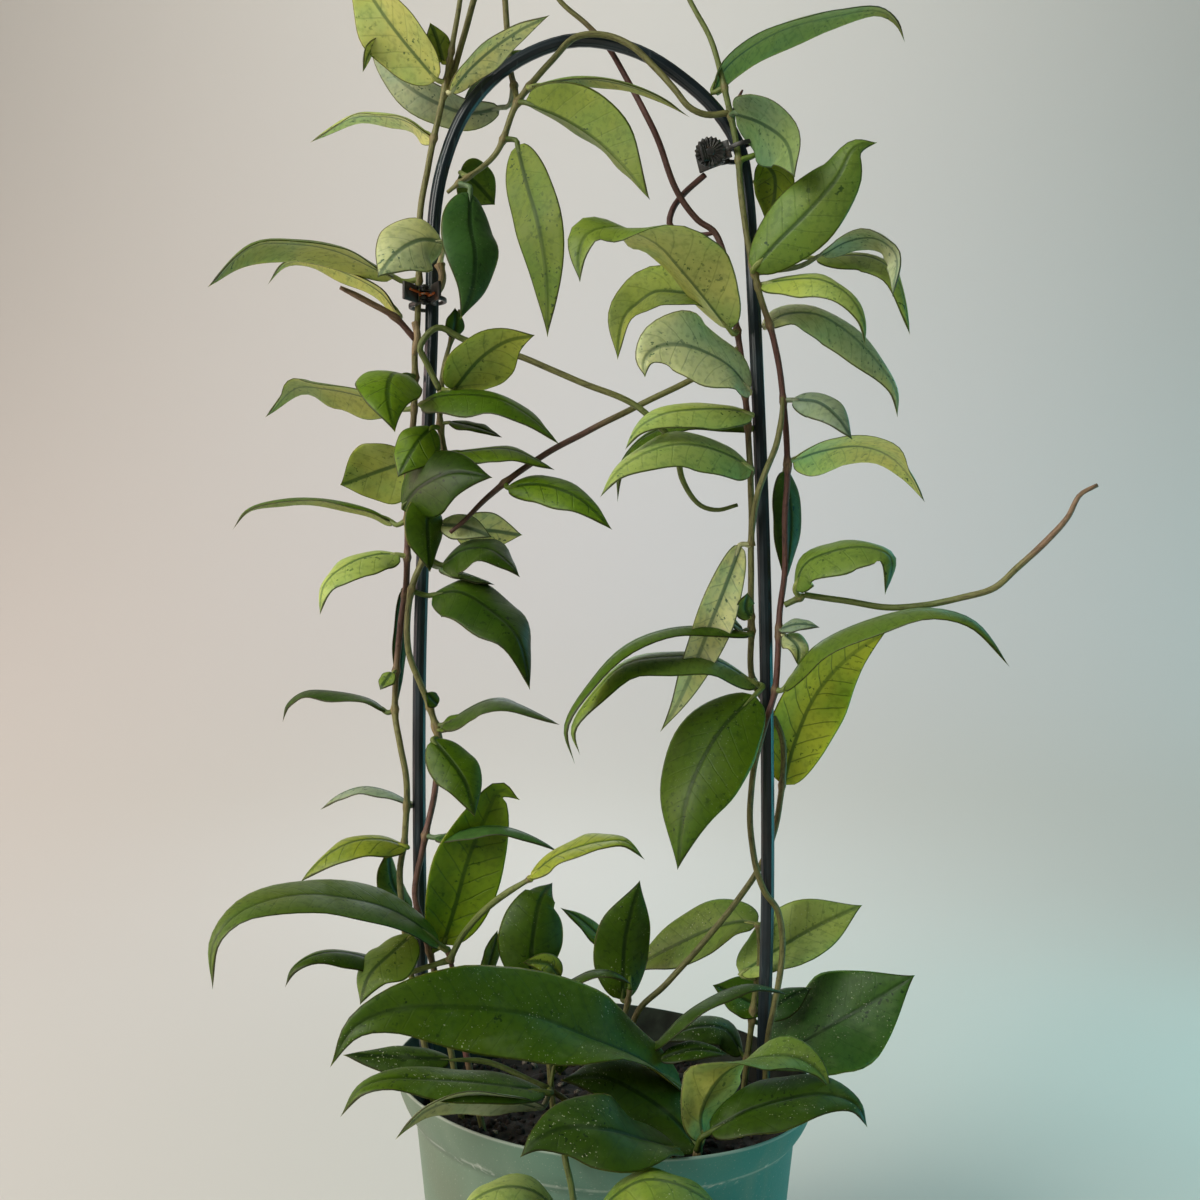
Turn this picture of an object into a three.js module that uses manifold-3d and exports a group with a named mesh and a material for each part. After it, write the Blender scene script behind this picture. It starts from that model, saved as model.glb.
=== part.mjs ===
// Potted hoya that climbs a plastic hoop, in its soft nursery pot.
// Millimetres, +Z up, origin at the middle of the pot's base. The front of the plant looks along -Y.
import * as THREE from "three";
import { mergeVertices } from "three/addons/utils/BufferGeometryUtils.js";
import Module from "manifold-3d";

const wasm = await Module();
wasm.setup();

// Driving sizes.
const POT_HEIGHT = 121;
const POT_BASE_RADIUS = 63.5;
const POT_TAPER = 0.11;
const POT_WALL = 1.4;
const RIM_RADIUS = 83.2;
const BAND_HEIGHT = 17;
const RIM_LEAN = Math.tan((4 * Math.PI) / 180);
const SOIL_TOP = 104;
const SOIL_FLOOR = 3;
const HOOP_RADIUS = 2.7;
const VINE_RADIUS = 1.4;
const PETIOLE_RADIUS = 1.1;
const BLADE_THICK = 1.0;
const STALK_END = 1.5;
const STALK_BEND = 0.35;
const LONG_STALK = 6;
const BLADE_DROOP = -15;
const SMALL_LEAF = 13;
const FIT_GAP = 0.35;
// The place in front of the plant that its leaves and stems were measured from.
const EYE = new THREE.Vector3(-2, -510, 308);

const GREEN = new THREE.MeshStandardMaterial({ color: 0x3f7a1e, roughness: 0.42 });
const POT_PLASTIC = new THREE.MeshStandardMaterial({ color: 0x6e8476, roughness: 0.5 });
const SOIL_MIX = new THREE.MeshStandardMaterial({ color: 0x1c1712, roughness: 0.95 });
const HOOP_PLASTIC = new THREE.MeshStandardMaterial({ color: 0x14242a, roughness: 0.25 });
const CLIP_PLASTIC = new THREE.MeshStandardMaterial({ color: 0x161a1a, roughness: 0.35 });
const SPRING_STEEL = new THREE.MeshStandardMaterial({ color: 0x8a4a22, roughness: 0.6, metalness: 0.7 });

const part = new THREE.Group();

// A point that is seen at x, z on the hoop's plane, moved nearer to the eye by toward.
function seen([x, z, toward = 0]) {
  return new THREE.Vector3(x, 0, z).lerp(EYE, toward / -EYE.y);
}

function solidOf(geometry) {
  const bare = geometry.clone();
  bare.deleteAttribute("normal");
  bare.deleteAttribute("uv");
  const merged = mergeVertices(bare);
  return new wasm.Manifold(
    new wasm.Mesh({
      numProp: 3,
      vertProperties: merged.attributes.position.array,
      triVerts: new Uint32Array(merged.index.array),
    }),
  );
}

function joined(solids) {
  return solids.reduce((whole, next) => whole.add(next));
}

function addPart(name, solid, material) {
  const faces = solid.getMesh();
  const geometry = new THREE.BufferGeometry();
  geometry.setAttribute("position", new THREE.BufferAttribute(faces.vertProperties, 3));
  geometry.setIndex(new THREE.BufferAttribute(faces.triVerts, 1));
  geometry.computeVertexNormals();
  const mesh = new THREE.Mesh(geometry, material);
  mesh.name = name;
  part.add(mesh);
  return mesh;
}

// A round rod along points, with flat ends.
function rod(points, radius, sides, stepLength, leastSteps = 1) {
  const route = new THREE.CatmullRomCurve3(points, false, "centripetal");
  const section = new THREE.Shape();
  for (let side = 0; side < sides; side += 1) {
    const angle = (side / sides) * 2 * Math.PI;
    const corner = [radius * Math.cos(angle), radius * Math.sin(angle)];
    if (side === 0) section.moveTo(...corner);
    else section.lineTo(...corner);
  }
  const steps = Math.max(leastSteps, Math.round(route.getLength() / stepLength));
  return solidOf(new THREE.ExtrudeGeometry(section, { steps, extrudePath: route, curveSegments: 1 }));
}

// Pot: one thin wall with a floor, a rounded rim band and drain holes.
// Its soft rim leans down to the right.
function leaned(geometry) {
  const places = geometry.attributes.position;
  for (let i = 0; i < places.count; i += 1) {
    const share = (places.getZ(i) / POT_HEIGHT) ** 3;
    places.setZ(i, places.getZ(i) - RIM_LEAN * places.getX(i) * share);
  }
  return geometry;
}

function potRadius(z) {
  return POT_BASE_RADIUS + POT_TAPER * z;
}

function buildPot() {
  const sides = 32;
  const bandFoot = POT_HEIGHT - BAND_HEIGHT;
  const outside = [
    [0, 0],
    [26, 0],
    [29, 2],
    [POT_BASE_RADIUS - 7, 2],
    [POT_BASE_RADIUS - 5, 0],
    [POT_BASE_RADIUS - 1.5, 0],
    [potRadius(2), 2],
    [potRadius(bandFoot), bandFoot],
    [potRadius(bandFoot) + 2.6, bandFoot + 3],
    [RIM_RADIUS - 2.2, bandFoot + 9],
    [RIM_RADIUS, POT_HEIGHT],
  ];
  const inside = [
    [RIM_RADIUS - POT_WALL, POT_HEIGHT],
    [RIM_RADIUS - 2.2 - POT_WALL, bandFoot + 9],
    [potRadius(bandFoot) + 2.6 - POT_WALL, bandFoot + 3.4],
    [potRadius(bandFoot) - POT_WALL, bandFoot - 0.4],
    [potRadius(4) - POT_WALL, SOIL_FLOOR + 0.6],
    [0, SOIL_FLOOR + 0.6],
  ];
  const profile = [...outside, ...inside].map(([r, z]) => new THREE.Vector2(r, z));
  const turned = new THREE.LatheGeometry(profile, sides).rotateX(Math.PI / 2);
  let pot = solidOf(leaned(turned));
  const holes = 6;
  for (let hole = 0; hole < holes; hole += 1) {
    const angle = (hole / holes) * 2 * Math.PI;
    const drain = new THREE.CylinderGeometry(4, 4, 12, 8).rotateX(Math.PI / 2);
    drain.translate(42 * Math.cos(angle), 42 * Math.sin(angle), 2);
    pot = pot.subtract(solidOf(drain));
  }
  return addPart("pot", pot, POT_PLASTIC);
}

// Hoop: one rod bent to a U, both feet in the soil.
const HOOP_ROUTE = [
  [-62, 0, 24],
  [-69, 0, 104],
  [-73, 0, 150],
  [-74.2, 0, 210],
  [-74, 0, 288],
  [-69.5, 0, 410],
  [-68, 0, 464],
  [-64, 0, 484],
  [-56, 0, 503],
  [-42, 0, 519],
  [-24, 0, 529],
  [-8, 0, 532],
  [14, 0, 527],
  [34, 0, 514],
  [46, 0, 502],
  [54, 0, 488],
  [57, 0, 470],
  [59.5, 0, 428],
  [64, 0, 308],
  [65, 0, 188],
  [63.5, 0, 130],
  [62, 0, 24],
].map((place) => new THREE.Vector3(...place));

const hoopRod = (radius) => rod(HOOP_ROUTE, radius, 8, 26);

// A leaf grows along a midrib from its base to its tip. Its upper side looks to the eye at up = 0,
// to the sky at up = 90 and away from the eye at up = 180, or along face where that is given.
// Its margins stand fold degrees over the midrib, or hang under it. Both may change along the leaf.
const BLADE_BELLY = 0.76;
const DRIP_TIP = 0.55;

function bladeShare(t) {
  return Math.sin(Math.PI * t ** BLADE_BELLY) ** (0.6 + DRIP_TIP * t);
}

// One value for a whole leaf, or the one at t of several spread evenly from base to tip.
function valueAt(values, t) {
  if (!Array.isArray(values)) return values;
  const mark = Math.min(t * (values.length - 1), values.length - 1.001);
  const before = Math.floor(mark);
  return THREE.MathUtils.lerp(values[before], values[before + 1], mark - before);
}

function upperSide(leaf, point, along, t, chord) {
  if (leaf.face) {
    const look = new THREE.Vector3(...leaf.face);
    return look.addScaledVector(along, -look.dot(along)).normalize();
  }
  const toEye = EYE.clone().sub(point).normalize();
  toEye.addScaledVector(along, -toEye.dot(along)).normalize();
  const skyward = new THREE.Vector3().crossVectors(chord, toEye);
  const turn = skyward.z + 0.3 * skyward.x < 0 ? -1 : 1;
  const across = new THREE.Vector3().crossVectors(along, toEye).multiplyScalar(turn);
  const angle = THREE.MathUtils.degToRad(valueAt(leaf.up, t));
  return toEye.multiplyScalar(Math.cos(angle)).addScaledVector(across, Math.sin(angle)).normalize();
}

// The nearest place to a leaf's base on the middle of any of its plant's stems.
function rootOn(stems, base) {
  let root = null;
  for (const stem of stems) {
    const route = new THREE.CatmullRomCurve3(stem.map(seen), false, "centripetal");
    for (const place of route.getPoints(stem.length * 8)) {
      if (!root || place.distanceTo(base) < root.distanceTo(base)) root = place;
    }
  }
  return root;
}

// One ring of a leaf's skin: three points over and three under, or two and two on a small leaf.
function leafRing({ middle, side, up, half, rise, small }) {
  const hands = small ? [-1, 1] : [-1, 0, 1];
  const ring = [];
  for (const skin of [1, -1]) {
    for (const hand of hands) {
      const place = middle.clone().addScaledVector(side, skin * hand * half);
      place.addScaledVector(up, Math.abs(hand) * rise + (skin * BLADE_THICK) / 2);
      ring.push(place);
    }
  }
  return ring;
}

// A leaf's blade, and the stalk that holds it to the nearest stem.
function leafSolid(leaf, order, stems) {
  const route = new THREE.CatmullRomCurve3(leaf.path.map(seen), false, "centripetal");
  const chord = route.getPoint(1).sub(route.getPoint(0)).normalize();
  const small = leaf.wide < SMALL_LEAF;
  const spans = THREE.MathUtils.clamp(Math.round((route.getLength() + 10) / 23), small ? 2 : 3, 5);
  const stalkRadius = PETIOLE_RADIUS * (small ? 0.6 : 0.9);
  const rings = [];
  for (let span = 0; span <= spans; span += 1) {
    const even = span / spans;
    const t = even - 0.07 * Math.sin(2 * Math.PI * even);
    const middle = route.getPointAt(t);
    const along = route.getTangentAt(t);
    const up = upperSide(leaf, middle, along, t, chord);
    const side = new THREE.Vector3().crossVectors(along, up);
    const fold = small ? 0 : THREE.MathUtils.degToRad(valueAt(leaf.fold ?? BLADE_DROOP, t));
    const width = Math.max(0.7, 0.5 * leaf.wide * bladeShare(t));
    const wave = 0.05 * width * Math.sin(9 * t + order);
    const half = span === 0 ? 1.2 * stalkRadius : width * Math.cos(fold);
    rings.push(leafRing({ middle, side, up, half, rise: width * Math.sin(fold) + wave, small }));
  }
  const base = route.getPointAt(0);
  const heading = route.getTangentAt(0);
  const root = rootOn(stems, base);
  const reach = base.distanceTo(root);
  const behind = base.clone().addScaledVector(heading, -STALK_BEND * reach);
  const within = base.clone().addScaledVector(heading, STALK_END);
  const leadsOn = base.clone().sub(root).dot(heading) > 0.5 * reach;
  const places = reach > LONG_STALK && leadsOn ? [root, behind, within] : [root, within];
  const stalk = rod(places, stalkRadius, 3, places.length > 2 ? LONG_STALK : Infinity);
  return solidOf(ringsGeometry(rings)).add(stalk);
}

// Rings of points, each joined to the next, with the first and the last closed. The upper and the
// lower skin are cut into triangles alike.
function ringsGeometry(rings) {
  const around = rings[0].length;
  const lower = around / 2;
  const faces = [];
  for (let near = 0; near < (rings.length - 1) * around; near += around) {
    const far = near + around;
    for (let i = 0; i < around; i += 1) {
      const j = (i + 1) % around;
      const [a, b, c, d] = [near + i, near + j, far + j, far + i];
      if (i >= lower - 1 && i < around - 1) faces.push(a, b, c, a, c, d);
      else faces.push(a, b, d, b, c, d);
    }
  }
  const last = (rings.length - 1) * around;
  for (let i = 0; i < lower - 1; i += 1) {
    const [a, b, c, d] = [i, i + 1, around - 2 - i, around - 1 - i];
    faces.push(a, d, b, b, d, c);
    faces.push(last + a, last + b, last + d, last + b, last + c, last + d);
  }
  const places = rings.flat().flatMap((place) => [place.x, place.y, place.z]);
  const geometry = new THREE.BufferGeometry();
  geometry.setAttribute("position", new THREE.Float32BufferAttribute(places, 3));
  geometry.setIndex(faces);
  return geometry;
}

// A vine is its stems and leaves in one piece.
function vineSolid({ stems, leaves, radius = VINE_RADIUS }) {
  const solids = stems.map((stem) => rod(stem.map(seen), radius, 5, 20, 4));
  leaves.forEach((leaf, order) => solids.push(leafSolid(leaf, order, stems)));
  return joined(solids);
}

const VINES = {
  left_outer_vine: {
    stems: [
      [[-67, 90, 12], [-70, 118, 11], [-76, 150, 9], [-80, 175, 6], [-82, 199, 3], [-80, 214, 3],
        [-79.5, 237, 4], [-82, 250, 3], [-84, 264, 0], [-82, 296, 0], [-79.5, 315, 3], [-79, 340, 3],
        [-79, 362, 1], [-76.5, 381, -1], [-76, 395, -1], [-76, 408, 0], [-75, 420, 2], [-74.5, 436, 2],
        [-74, 462, 1], [-71, 480, 2], [-68, 495, 3], [-65, 508, 4], [-63, 519, 4], [-58, 548, 6],
        [-55, 572, 9], [-53, 598, 12]],
      [[-65, 508, 4], [-61, 518, 2], [-53, 546, 0], [-47, 566, -4], [-43, 584, -8]],
      [[-75.6, 412, 1], [-84, 421, 4], [-96, 428, 8], [-106, 433, 10]],
    ],
    leaves: [
      { path: [[-67, 516, 5], [-85, 538, 13], [-104, 566, 22]], wide: 31, up: 138 },
      { path: [[-65, 523, 5], [-67, 531, 8], [-70, 539, 10]], wide: 12, up: 30 },
      { path: [[-62, 511, 5], [-55, 520, 8], [-45, 529, 12], [-33, 537, 15], [-22, 542, 18]],
        wide: 17, up: 128 },
      { path: [[-69, 493, 2], [-79, 500, -5], [-89, 502, -12], [-102, 501, -18], [-118, 491, -24]],
        wide: 24, up: 102 },
      { path: [[-65, 451, 12], [-73, 452, 18], [-83, 447, 27], [-91, 437, 32]], wide: 26, up: 28 },
      { path: [[-84, 437, 5], [-107, 448, 14], [-124, 451, 24], [-141, 450, 34], [-159, 433, 44]],
        wide: 33, up: 106 },
      { path: [[-83, 423, -2], [-89, 431, -6], [-103, 439, -12], [-120, 444, -19], [-129, 442, -23],
        [-135, 434, -26]], wide: 18, up: 106 },
      { path: [[-80, 398, 8], [-85, 398, 24], [-87, 389, 38], [-84, 375, 43]], wide: 26,
        face: [0.2, -0.5, 0.85] },
      { path: [[-83, 385, -3], [-97, 390, -8], [-112, 393, -14], [-124, 393, -20],
        [-136, 381, -26]], wide: 31, up: 110 },
      { path: [[-77, 364, -5], [-87, 361, -9], [-106, 354, -14]], wide: 31, up: 155 },
      { path: [[-85, 339, 0], [-94, 344, -6], [-112, 348, -15], [-129, 348, -22], [-143, 344, -29],
        [-149, 336, -34]], wide: 20, up: 97 },
      { path: [[-82, 326, 5], [-91, 326, 10], [-103, 322, 18], [-112, 314, 24], [-114, 302, 28]],
        wide: 24, up: 66 },
      { path: [[-81, 312, -4], [-82, 289, -8], [-83, 266, -9]], wide: 9, up: 48 },
      { path: [[-85, 279, 4], [-90, 272, 8]], wide: 8, up: 40 },
      { path: [[-87, 263, -2], [-94, 268, -7], [-107, 271, -14], [-120, 271, -21], [-127, 266, -26],
        [-129, 259, -28]], wide: 19, up: 82 },
      { path: [[-77, 226, -1], [-86, 231, -5], [-96, 233, -9], [-106, 230, -14], [-114, 224, -18]],
        wide: 15, up: 80 },
      { path: [[-79, 209, 4], [-89, 212, 7], [-101, 211, 10], [-112, 205, 13], [-122, 195, 16]],
        wide: 22, up: 66 },
      { path: [[-78, 184, -3], [-85, 194, -6], [-87, 209, -8]], wide: 14, up: 40 },
      { path: [[-55, 574, 11], [-60, 584, 14], [-63, 596, 16]], wide: 9, up: 40 },
      { path: [[-53, 598, 12], [-49, 605, 14], [-44, 612, 14]], wide: 7, up: 120 },
      { path: [[-82, 531, 0], [-88, 532, 2], [-94, 528, 5], [-97, 519, 8]], wide: 10, up: 115 },
    ],
  },
  left_inner_vine: {
    stems: [
      [[-56, 90, 12], [-60, 118, 12], [-66, 150, 11], [-73, 178, 10], [-76, 190, 8], [-73, 208, 7],
        [-68, 232, 5], [-66.6, 252, 5], [-69, 262, 6], [-74, 275, 8], [-78.5, 287, 9], [-79, 300, 9],
        [-77, 314, 9], [-71, 328, 8], [-67, 345, 5], [-64, 362, 5], [-66, 380, 6], [-65, 398, 5],
        [-61, 414, 2], [-58, 424, 1]],
      [[-66, 392, 6], [-72, 404, 7], [-74, 409, 8], [-67, 417, 8], [-56, 412, 6], [-33, 405, 6],
        [-12, 396, 8], [12, 386, 9], [22, 377, 9], [28, 370, 8], [31, 356, 7], [38, 346, 6],
        [45, 344, 5], [53, 346, 4]],
    ],
    leaves: [
      { path: [[-61, 392, 7], [-50, 405, 15], [-39, 412, 21], [-28, 414, 25]], wide: 28, up: 145 },
      { path: [[-74, 386, 10], [-67, 389, 14], [-55, 390, 20], [-42, 388, 26], [-30, 381, 32],
        [-18, 370, 38]], wide: 25, up: 66 },
      { path: [[-62, 379, 8], [-52, 377, 12], [-41, 373, 14]], wide: 12, up: 70 },
      { path: [[-60, 367, 7], [-38, 368, 10], [-20, 360, 14]], wide: 20, up: 72 },
      { path: [[-81, 345, 10], [-74, 353, 18], [-61, 359, 25], [-45, 357, 29]], wide: 28, up: 32 },
      { path: [[-71, 350, 10], [-71, 336, 14], [-70, 319, 14]], wide: 19, up: 35 },
      { path: [[-69, 377, 9], [-75, 371, 15], [-83, 357, 20]], wide: 19, up: 25 },
      { path: [[-60, 336, -3], [-46, 336, -8], [-33, 334, -10]], wide: 19, up: 155 },
      { path: [[-66, 338, 6], [-56, 337, 10], [-45, 333, 12]], wide: 12, up: 30 },
      { path: [[-65, 322, 7], [-56, 328, 14], [-46, 328, 20], [-38, 322, 25], [-34, 317, 28]],
        wide: 26, up: 62 },
      { path: [[-66, 321, 6], [-55, 318, 9], [-44, 314, 12]], wide: 14, up: 80 },
      { path: [[-69, 310, 8], [-58, 311, 18], [-46, 304, 28], [-35, 293, 37], [-30, 272, 42]],
        wide: 29, up: 48 },
      { path: [[-65, 258, 7], [-44, 268, 16], [-18, 258, 34]], wide: 27, up: 80 },
      { path: [[-66, 256, 8], [-60, 260, 11], [-54, 261, 12]], wide: 9, up: 60 },
      { path: [[-67, 266, 7], [-72, 271, 9]], wide: 8, up: 40 },
      { path: [[-69, 252, 9], [-62, 244, 15], [-56, 235, 20], [-52, 221, 24]], wide: 20, up: 22 },
      { path: [[-68, 213, 9], [-56, 216, 13], [-42, 217, 17], [-31, 214, 20], [-18, 207, 22]],
        wide: 18, up: 79 },
      { path: [[-65, 170, 10], [-60, 186, 10], [-55, 204, 10], [-48, 221, 9], [-42, 232, 8],
        [-34, 228, 8]], wide: 30, up: 165 },
      { path: [[-61, 413, 3], [-60, 419, 5], [-60, 425, 6]], wide: 9, up: 30 },
    ],
  },
  right_outer_vine: {
    stems: [
      [[64, 95, 6], [65, 131, 6], [68, 147, 5], [71, 168, 3], [69, 184, 5], [64, 191, 6], [60, 203, 4],
        [58, 222, 3], [60, 243, 5], [64, 258, 6], [68, 272, 5], [70, 304, 1], [72, 320, 1],
        [72, 340, 1], [73, 363, 1], [70, 399, 2], [67, 414, 4], [62, 430, 6], [57, 452, 6],
        [54, 475, 5.5], [53, 488, 5],
        [50, 503, 6], [46, 520, 6], [42, 533, 5], [33, 550, 4], [27, 572, 4], [25, 598, 6]],
      [[50, 503, 6], [41, 502, 7], [34, 505, 8], [28, 512, 7], [20, 521, 6], [10, 530, 6],
        [0, 534, 5], [-12, 533, 5], [-21, 524, 6], [-35, 507, 5], [-44, 486, 4], [-58, 475, 5],
        [-63, 471, 6]],
      [[-35, 507, 5], [-36, 512, 0], [-38, 521, -7], [-40, 548, -8], [-42, 568, -9]],
      [[80, 310, 4], [94, 308, 10], [114, 305, 18], [128, 306, 24], [143, 309, 30], [156, 313, 34],
        [165, 321, 37], [177, 332, 40], [185, 341, 42], [190, 350, 43], [197, 354, 44]],
      [[72, 306, 1], [80, 310, 4]],
    ],
    leaves: [
      { path: [[-42, 505, -8], [-55, 503, -13], [-67, 507, -16], [-79, 514, -19], [-89, 524, -22],
        [-95, 537, -24]], wide: 18, up: 150 },
      { path: [[-31, 527, -10], [-39, 525, -11], [-48, 519, -12], [-57, 507, -13]], wide: 14, up: 60 },
      { path: [[-30, 513, 9], [-12, 517, 12], [6, 515, 14], [22, 509, 15], [34, 501, 15]],
        wide: 13, up: 104 },
      { path: [[-32, 507, 8], [-17, 501, 15], [-3, 492, 22], [9, 480, 28], [18, 468, 31]],
        wide: 29, up: 135, fold: 33 },
      { path: [[-35, 490, 6], [-31, 474, 14], [-27, 460, 20], [-24, 444, 20], [-23, 429, 18],
        [-23, 413, 16]], wide: 21, up: 157, fold: -1 },
      { path: [[-58, 479, -5], [-52, 475, -9], [-44, 466, -12]], wide: 22, up: 25 },
      { path: [[-54, 471, 9], [-54, 458, 16], [-52, 446, 21], [-53, 433, 21], [-58, 420, 19]],
        wide: 24, up: 26 },
      { path: [[43, 511, 4], [47, 520, 1], [57, 529, -5], [72, 537, -12], [92, 542, -19],
        [110, 544, -25], [117, 539, -29], [120, 531, -31]], wide: 27, up: 112 },
      { path: [[52, 503, 11], [63, 499, 20], [73, 491, 28], [76, 477, 34]], wide: 30, up: 135 },
      { path: [[63, 484, 4], [68, 478, -3], [68, 469, -8], [65, 457, -12]], wide: 20, up: 150 },
      { path: [[59, 440, 9], [69, 451, 15], [81, 463, 20], [93, 477, 24], [100, 489, 25],
        [109, 491, 25]], wide: 27, up: 15 },
      { path: [[86, 446, 11], [97, 452, 18], [109, 453, 28], [117, 446, 33], [115, 429, 36]],
        wide: 22, up: 112 },
      { path: [[84, 445, -4], [106, 445, 0], [116, 438, 6], [122, 414, 12]], wide: 24, up: 72 },
      { path: [[62, 434, 5], [74, 436, 11], [86, 436, 18], [97, 430, 24], [103, 420, 28],
        [104, 410, 30]], wide: 22, up: 66 },
      { path: [[64, 417, -2], [72, 422, -8], [85, 422, -14], [97, 415, -19], [108, 404, -23],
        [116, 392, -25], [117, 381, -26]], wide: 27, up: 60 },
      { path: [[75, 388, 3], [85, 387, 9], [93, 381, 16], [99, 372, 20]], wide: 16, up: 42 },
      { path: [[75, 364, -1], [86, 368, -7], [102, 370, -14], [114, 366, -21], [122, 358, -26],
        [128, 347, -30]], wide: 31, up: [122, 108] },
      { path: [[72, 360, -4], [74, 340, -8], [72, 314, -8]], wide: 16, up: 40 },
      { path: [[76, 312, 6], [80, 322, 12], [90, 327, 20], [104, 329, 26], [114, 325, 30],
        [112, 310, 32]], wide: 27, up: 62 },
      { path: [[70, 296, 3], [77, 298, 7], [86, 297, 11]], wide: 10, up: 60 },
      { path: [[72, 294, 4], [77, 289, 8], [77, 282, 10]], wide: 12, up: 40 },
      { path: [[71, 272, 7], [85, 290, 16], [114, 302, 30], [133, 304, 38], [148, 299, 44], [162, 281, 52]],
        wide: 29, up: 80 },
      { path: [[26, 572, 5], [34, 582, 9], [40, 596, 12]], wide: 9, up: 50 },
    ],
  },
  right_inner_vine: {
    stems: [
      [[6, 99, -10], [9, 125, -8], [13, 143, -7], [25, 155, -6], [46, 179, -6], [60, 198, -6],
        [67, 213, -6], [71, 236, -4], [71, 252, -4], [66, 264, -6], [59, 276, -4], [58.5, 294, 1],
        [58.4, 308, 2.5], [58.4, 326, 3.8], [58.6, 344, 3.8], [58, 361, 3.8], [57, 379, 3.5],
        [55.5, 396, 2], [53.5, 412, 0], [51, 426, 0], [49, 440, 0], [44, 455, -1], [37, 460, -2],
        [28, 473, -3], [22, 490, -5], [16, 503, -6],
        [10, 514, -7], [2, 528, -7], [-7, 538, -7], [-19, 549, -6], [-27, 572, -4], [-31, 600, -2]],
      [[54, 409, 0], [38, 398, 0], [22, 390, -1], [-4, 377, 0], [-26, 365, 4], [-46, 350, 10],
        [-56, 340, 14], [-62, 335, 15]],
      [[40, 478, -6], [31, 470, -6], [27, 464, -6], [26, 458, -6], [30, 455, -6], [38, 454, -4],
        [44, 455, -1]],
      [[58.4, 330, 3.8], [59, 338, 6], [61, 350, 8.5], [64.5, 360, 8.5], [68.5, 370, 7],
        [70.5, 380, 5.5], [71, 389, 5]],
    ],
    leaves: [
      { path: [[50, 416, 5], [40, 429, 12], [30, 441, 20], [22, 450, 27], [13, 455, 31],
        [2, 457, 34], [-7, 454, 36], [-10, 446, 37], [-10, 435, 38]],
        wide: 38, up: [125, 125, 133, 126, 108, 68, 37, 37], fold: [14, 14, 26, 16, 2, -5, 9, 9] },
      { path: [[45, 423, -3], [38, 429, -4], [28, 431, -6], [20, 431, -7], [14, 427, -8],
        [8, 421, -8], [5, 404, -9]], wide: 24, up: 42, fold: 23 },
      { path: [[58, 391, 6], [50, 401, 13], [40, 407, 19], [30, 410, 24], [21, 409, 27],
        [16, 404, 29], [16, 397, 30]],
        wide: 34, up: [66, 66, 55, 29, 16, 16], fold: [6, 6, 0, 4, 0, 0] },
      { path: [[59, 382, 6], [50, 384, 10], [36, 384, 14], [23, 382, 20], [13, 376, 26],
        [8, 368, 30]], wide: 23, up: 62 },
      { path: [[60, 376, -3], [49, 379, -5], [34, 380, -7], [24, 377, -8], [13, 371, -9],
        [6, 361, -10], [5, 347, -10]], wide: 16, up: 70 },
      { path: [[59, 360, 4], [51, 365, 11], [40, 369, 18], [28, 370, 24], [15, 366, 31],
        [5, 359, 35], [-2, 349, 38]], wide: 27, up: 58 },
      { path: [[-39, 353, 10], [-26, 354, 14], [-11, 349, 20], [3, 336, 24]], wide: 19, up: 50 },
      { path: [[54, 330, 5], [48, 314, 9], [42, 299, 13], [36, 283, 16], [29, 267, 18],
        [22, 255, 18]], wide: 18, up: 150 },
      { path: [[58, 301, 4], [56, 305, 6], [57, 311, 8]], wide: 10, up: 40 },
      { path: [[55, 296, 4], [49, 300, 9]], wide: 7, up: 60 },
      { path: [[58, 294, 5], [43, 297, 12], [25, 296, 22], [8, 289, 34], [-5, 276, 42],
        [-16, 257, 48], [-12, 242, 50]], wide: 17, up: 78 },
      { path: [[61, 274, 3], [43, 284, 12], [25, 285, 20], [8, 282, 27], [-3, 272, 32],
        [-13, 256, 35], [-10, 246, 36]], wide: 24, up: 68 },
      { path: [[60, 270, 9], [45, 254, 18], [33, 229, 27], [29, 200, 30]], wide: 36, up: 24 },
      { path: [[71, 234, -6], [76, 252, -10], [84, 270, -13], [97, 285, -15], [113, 296, -16]],
        wide: 30, up: 158 },
      { path: [[-29, 574, -4], [-36, 585, -2], [-44, 594, 0]], wide: 9, up: 60 },
      { path: [[-30, 592, -3], [-24, 602, -2], [-20, 610, -2]], wide: 7, up: 80 },
    ],
  },
  left_base_shoot: {
    stems: [
      [[-46, 84, 26], [-52, 110, 24], [-58, 140, 20], [-61, 160, 18], [-63, 168, 18]],
      [[-62, 164, 18], [-56.6, 174.5, 24], [-44.4, 187.2, 34], [-30, 196.5, 43.5]],
    ],
    leaves: [
      { path: [[-66, 170, 21], [-74, 177, 25], [-86, 184, 30], [-101, 188, 38], [-117, 190, 46],
        [-133, 188, 54], [-147, 182, 60], [-156, 171, 64], [-157, 152, 66]],
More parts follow.
